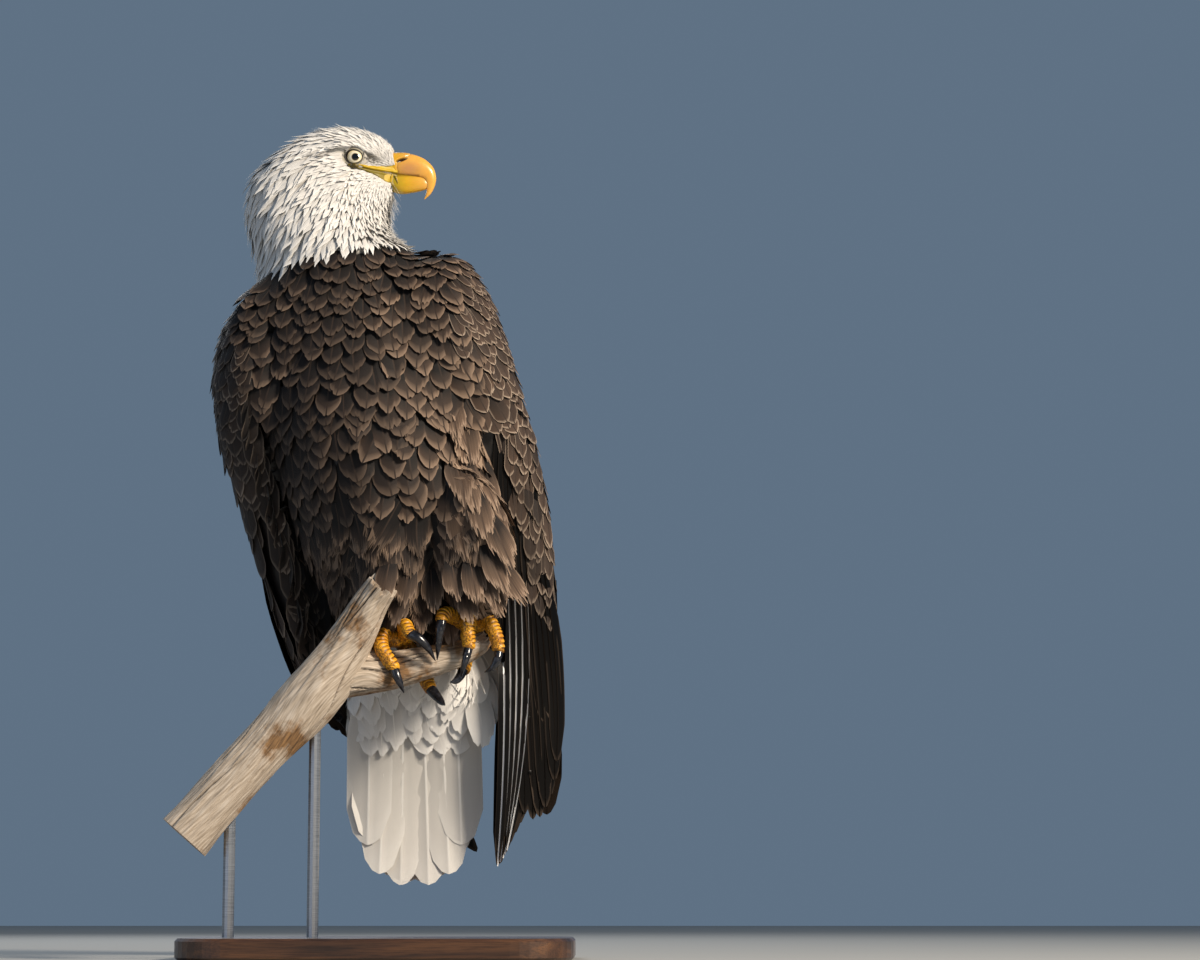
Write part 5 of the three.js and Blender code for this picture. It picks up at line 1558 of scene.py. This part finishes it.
def toe_leather():
    """Scaly toe skin: waxy golden yellow plates, brown in the grooves between them."""
    material, tree, shader = finish_of("scaly toe skin", Roughness=0.42, Subsurface_Weight=0.06,
                                       Subsurface_Scale=0.003)
    groove = node(tree, "Attribute", attribute_name="groove").outputs["Fac"]
    place = node(tree, "TexCoord").outputs["Object"]
    cloud = node(tree, "TexNoise", {"Vector": place, "Scale": 90.0, "Detail": 4.0})
    plate = node(tree, "ValToRGB", {"Fac": cloud.outputs["Fac"]}, stops=[(0.3, "#c98312"), (0.7, "#efb02a")])
    deep = node(tree, "MapRange", {"Value": groove, "From Min": 0.4, "From Max": 0.9, "To Max": 0.95})
    colour = node(tree, "MixRGB", {"Fac": deep.outputs["Result"], "Color1": plate.outputs["Color"],
                                   "Color2": linear("#54300d")})
    tree.links.new(colour.outputs["Color"], shader.inputs["Base Color"])
    scale = node(tree, "TexVoronoi", {"Vector": place, "Scale": 900.0})
    bump = node(tree, "Bump", {"Height": scale.outputs["Distance"], "Strength": 0.3, "Distance": 0.0003})
    tree.links.new(bump.outputs["Normal"], shader.inputs["Normal"])
    return material


def claw_horn():
    """Claw horn: near black and glossy, clouded a little paler in fine spots, with a fine bump."""
    material, tree, shader = finish_of("claw horn", Roughness=0.24, Coat_Weight=0.3, Coat_Roughness=0.1)
    place = node(tree, "TexCoord").outputs["Object"]
    cloud = node(tree, "TexNoise", {"Vector": place, "Scale": 260.0, "Detail": 5.0})
    tint = node(tree, "ValToRGB", {"Fac": cloud.outputs["Fac"]}, stops=[(0.35, "#0c0c10"), (0.75, "#2c2d34")])
    tree.links.new(tint.outputs["Color"], shader.inputs["Base Color"])
    bump = node(tree, "Bump", {"Height": cloud.outputs["Fac"], "Strength": 0.15, "Distance": 0.0003})
    tree.links.new(bump.outputs["Normal"], shader.inputs["Normal"])
    return material


leather, black_horn = toe_leather(), claw_horn()
for side in ("right", "left"):
    parts = [toe(stations, i + 3) for i, stations in enumerate(feet[side])]
    points, faces = joined([(p, f) for p, f, _ in parts])
    grooves = {"groove": np.concatenate([g for *_, g in parts])}
    foot = shape("scaly_foot_" + side, points, faces, leather, grooves)
    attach(foot, "root")
    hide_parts("foot_" + side)
    for i, stations in enumerate(claws[side]):
        path = smooth_path(stations, 60) * MM
        radii = path[:, 3:] * np.ones((1, 32))
        points, faces = swept(path[:, :3], radii, reference=(0.3, 0.2, 1), squash=0.85)
        claw = shape(f"horn_claw_{side}_{i + 1}", points, faces, black_horn)
        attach(claw, "root")
        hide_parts(f"claw_{side}_{i + 1}")


# ---- Room. A plain pale floor, a soft bluish grey surround and large soft lamps: the key from the right
# and above in front, a weaker fill from the left, and a rim light from behind.

floor_points = np.array([[-6, -4, 0], [6, -4, 0], [6, 6, 0], [-6, 6, 0]], float)
floor_paint, _, _ = finish_of("pale floor", Base_Color=linear("#9d9e9c"), Roughness=0.9)
shape("floor", floor_points, [np.array([[0, 1, 2, 3]])], floor_paint)

world = bpy.data.worlds.new("surround")
world.use_nodes = True
world.node_tree.nodes["Background"].inputs["Color"].default_value = linear("#8fa9c4")
world.node_tree.nodes["Background"].inputs["Strength"].default_value = 0.42
bpy.context.scene.world = world
bpy.context.scene.view_settings.view_transform = "Standard"


def lamp(name, place, target, size, power, colour):
    """A square area light at a place, facing its target."""
    data = bpy.data.lights.new(name, "AREA")
    data.size, data.energy, data.color = size, power, linear(colour)[:3]
    light = bpy.data.objects.new(name, data)
    light.location = place
    light.rotation_euler = (Vector(target) - Vector(place)).to_track_quat("-Z", "Y").to_euler()
    bpy.context.scene.collection.objects.link(light)


lamp("key", (2.5, -2.15, 2.1), (0, 0, 0.5), 0.7, 205, "#fff0dc")
lamp("fill", (-2.2, -2.2, 1.0), (0, 0, 0.5), 1.8, 8, "#dfe9ff")
lamp("rim", (-0.8, 2.2, 1.9), (0, 0, 0.6), 1.2, 30, "#ffffff")
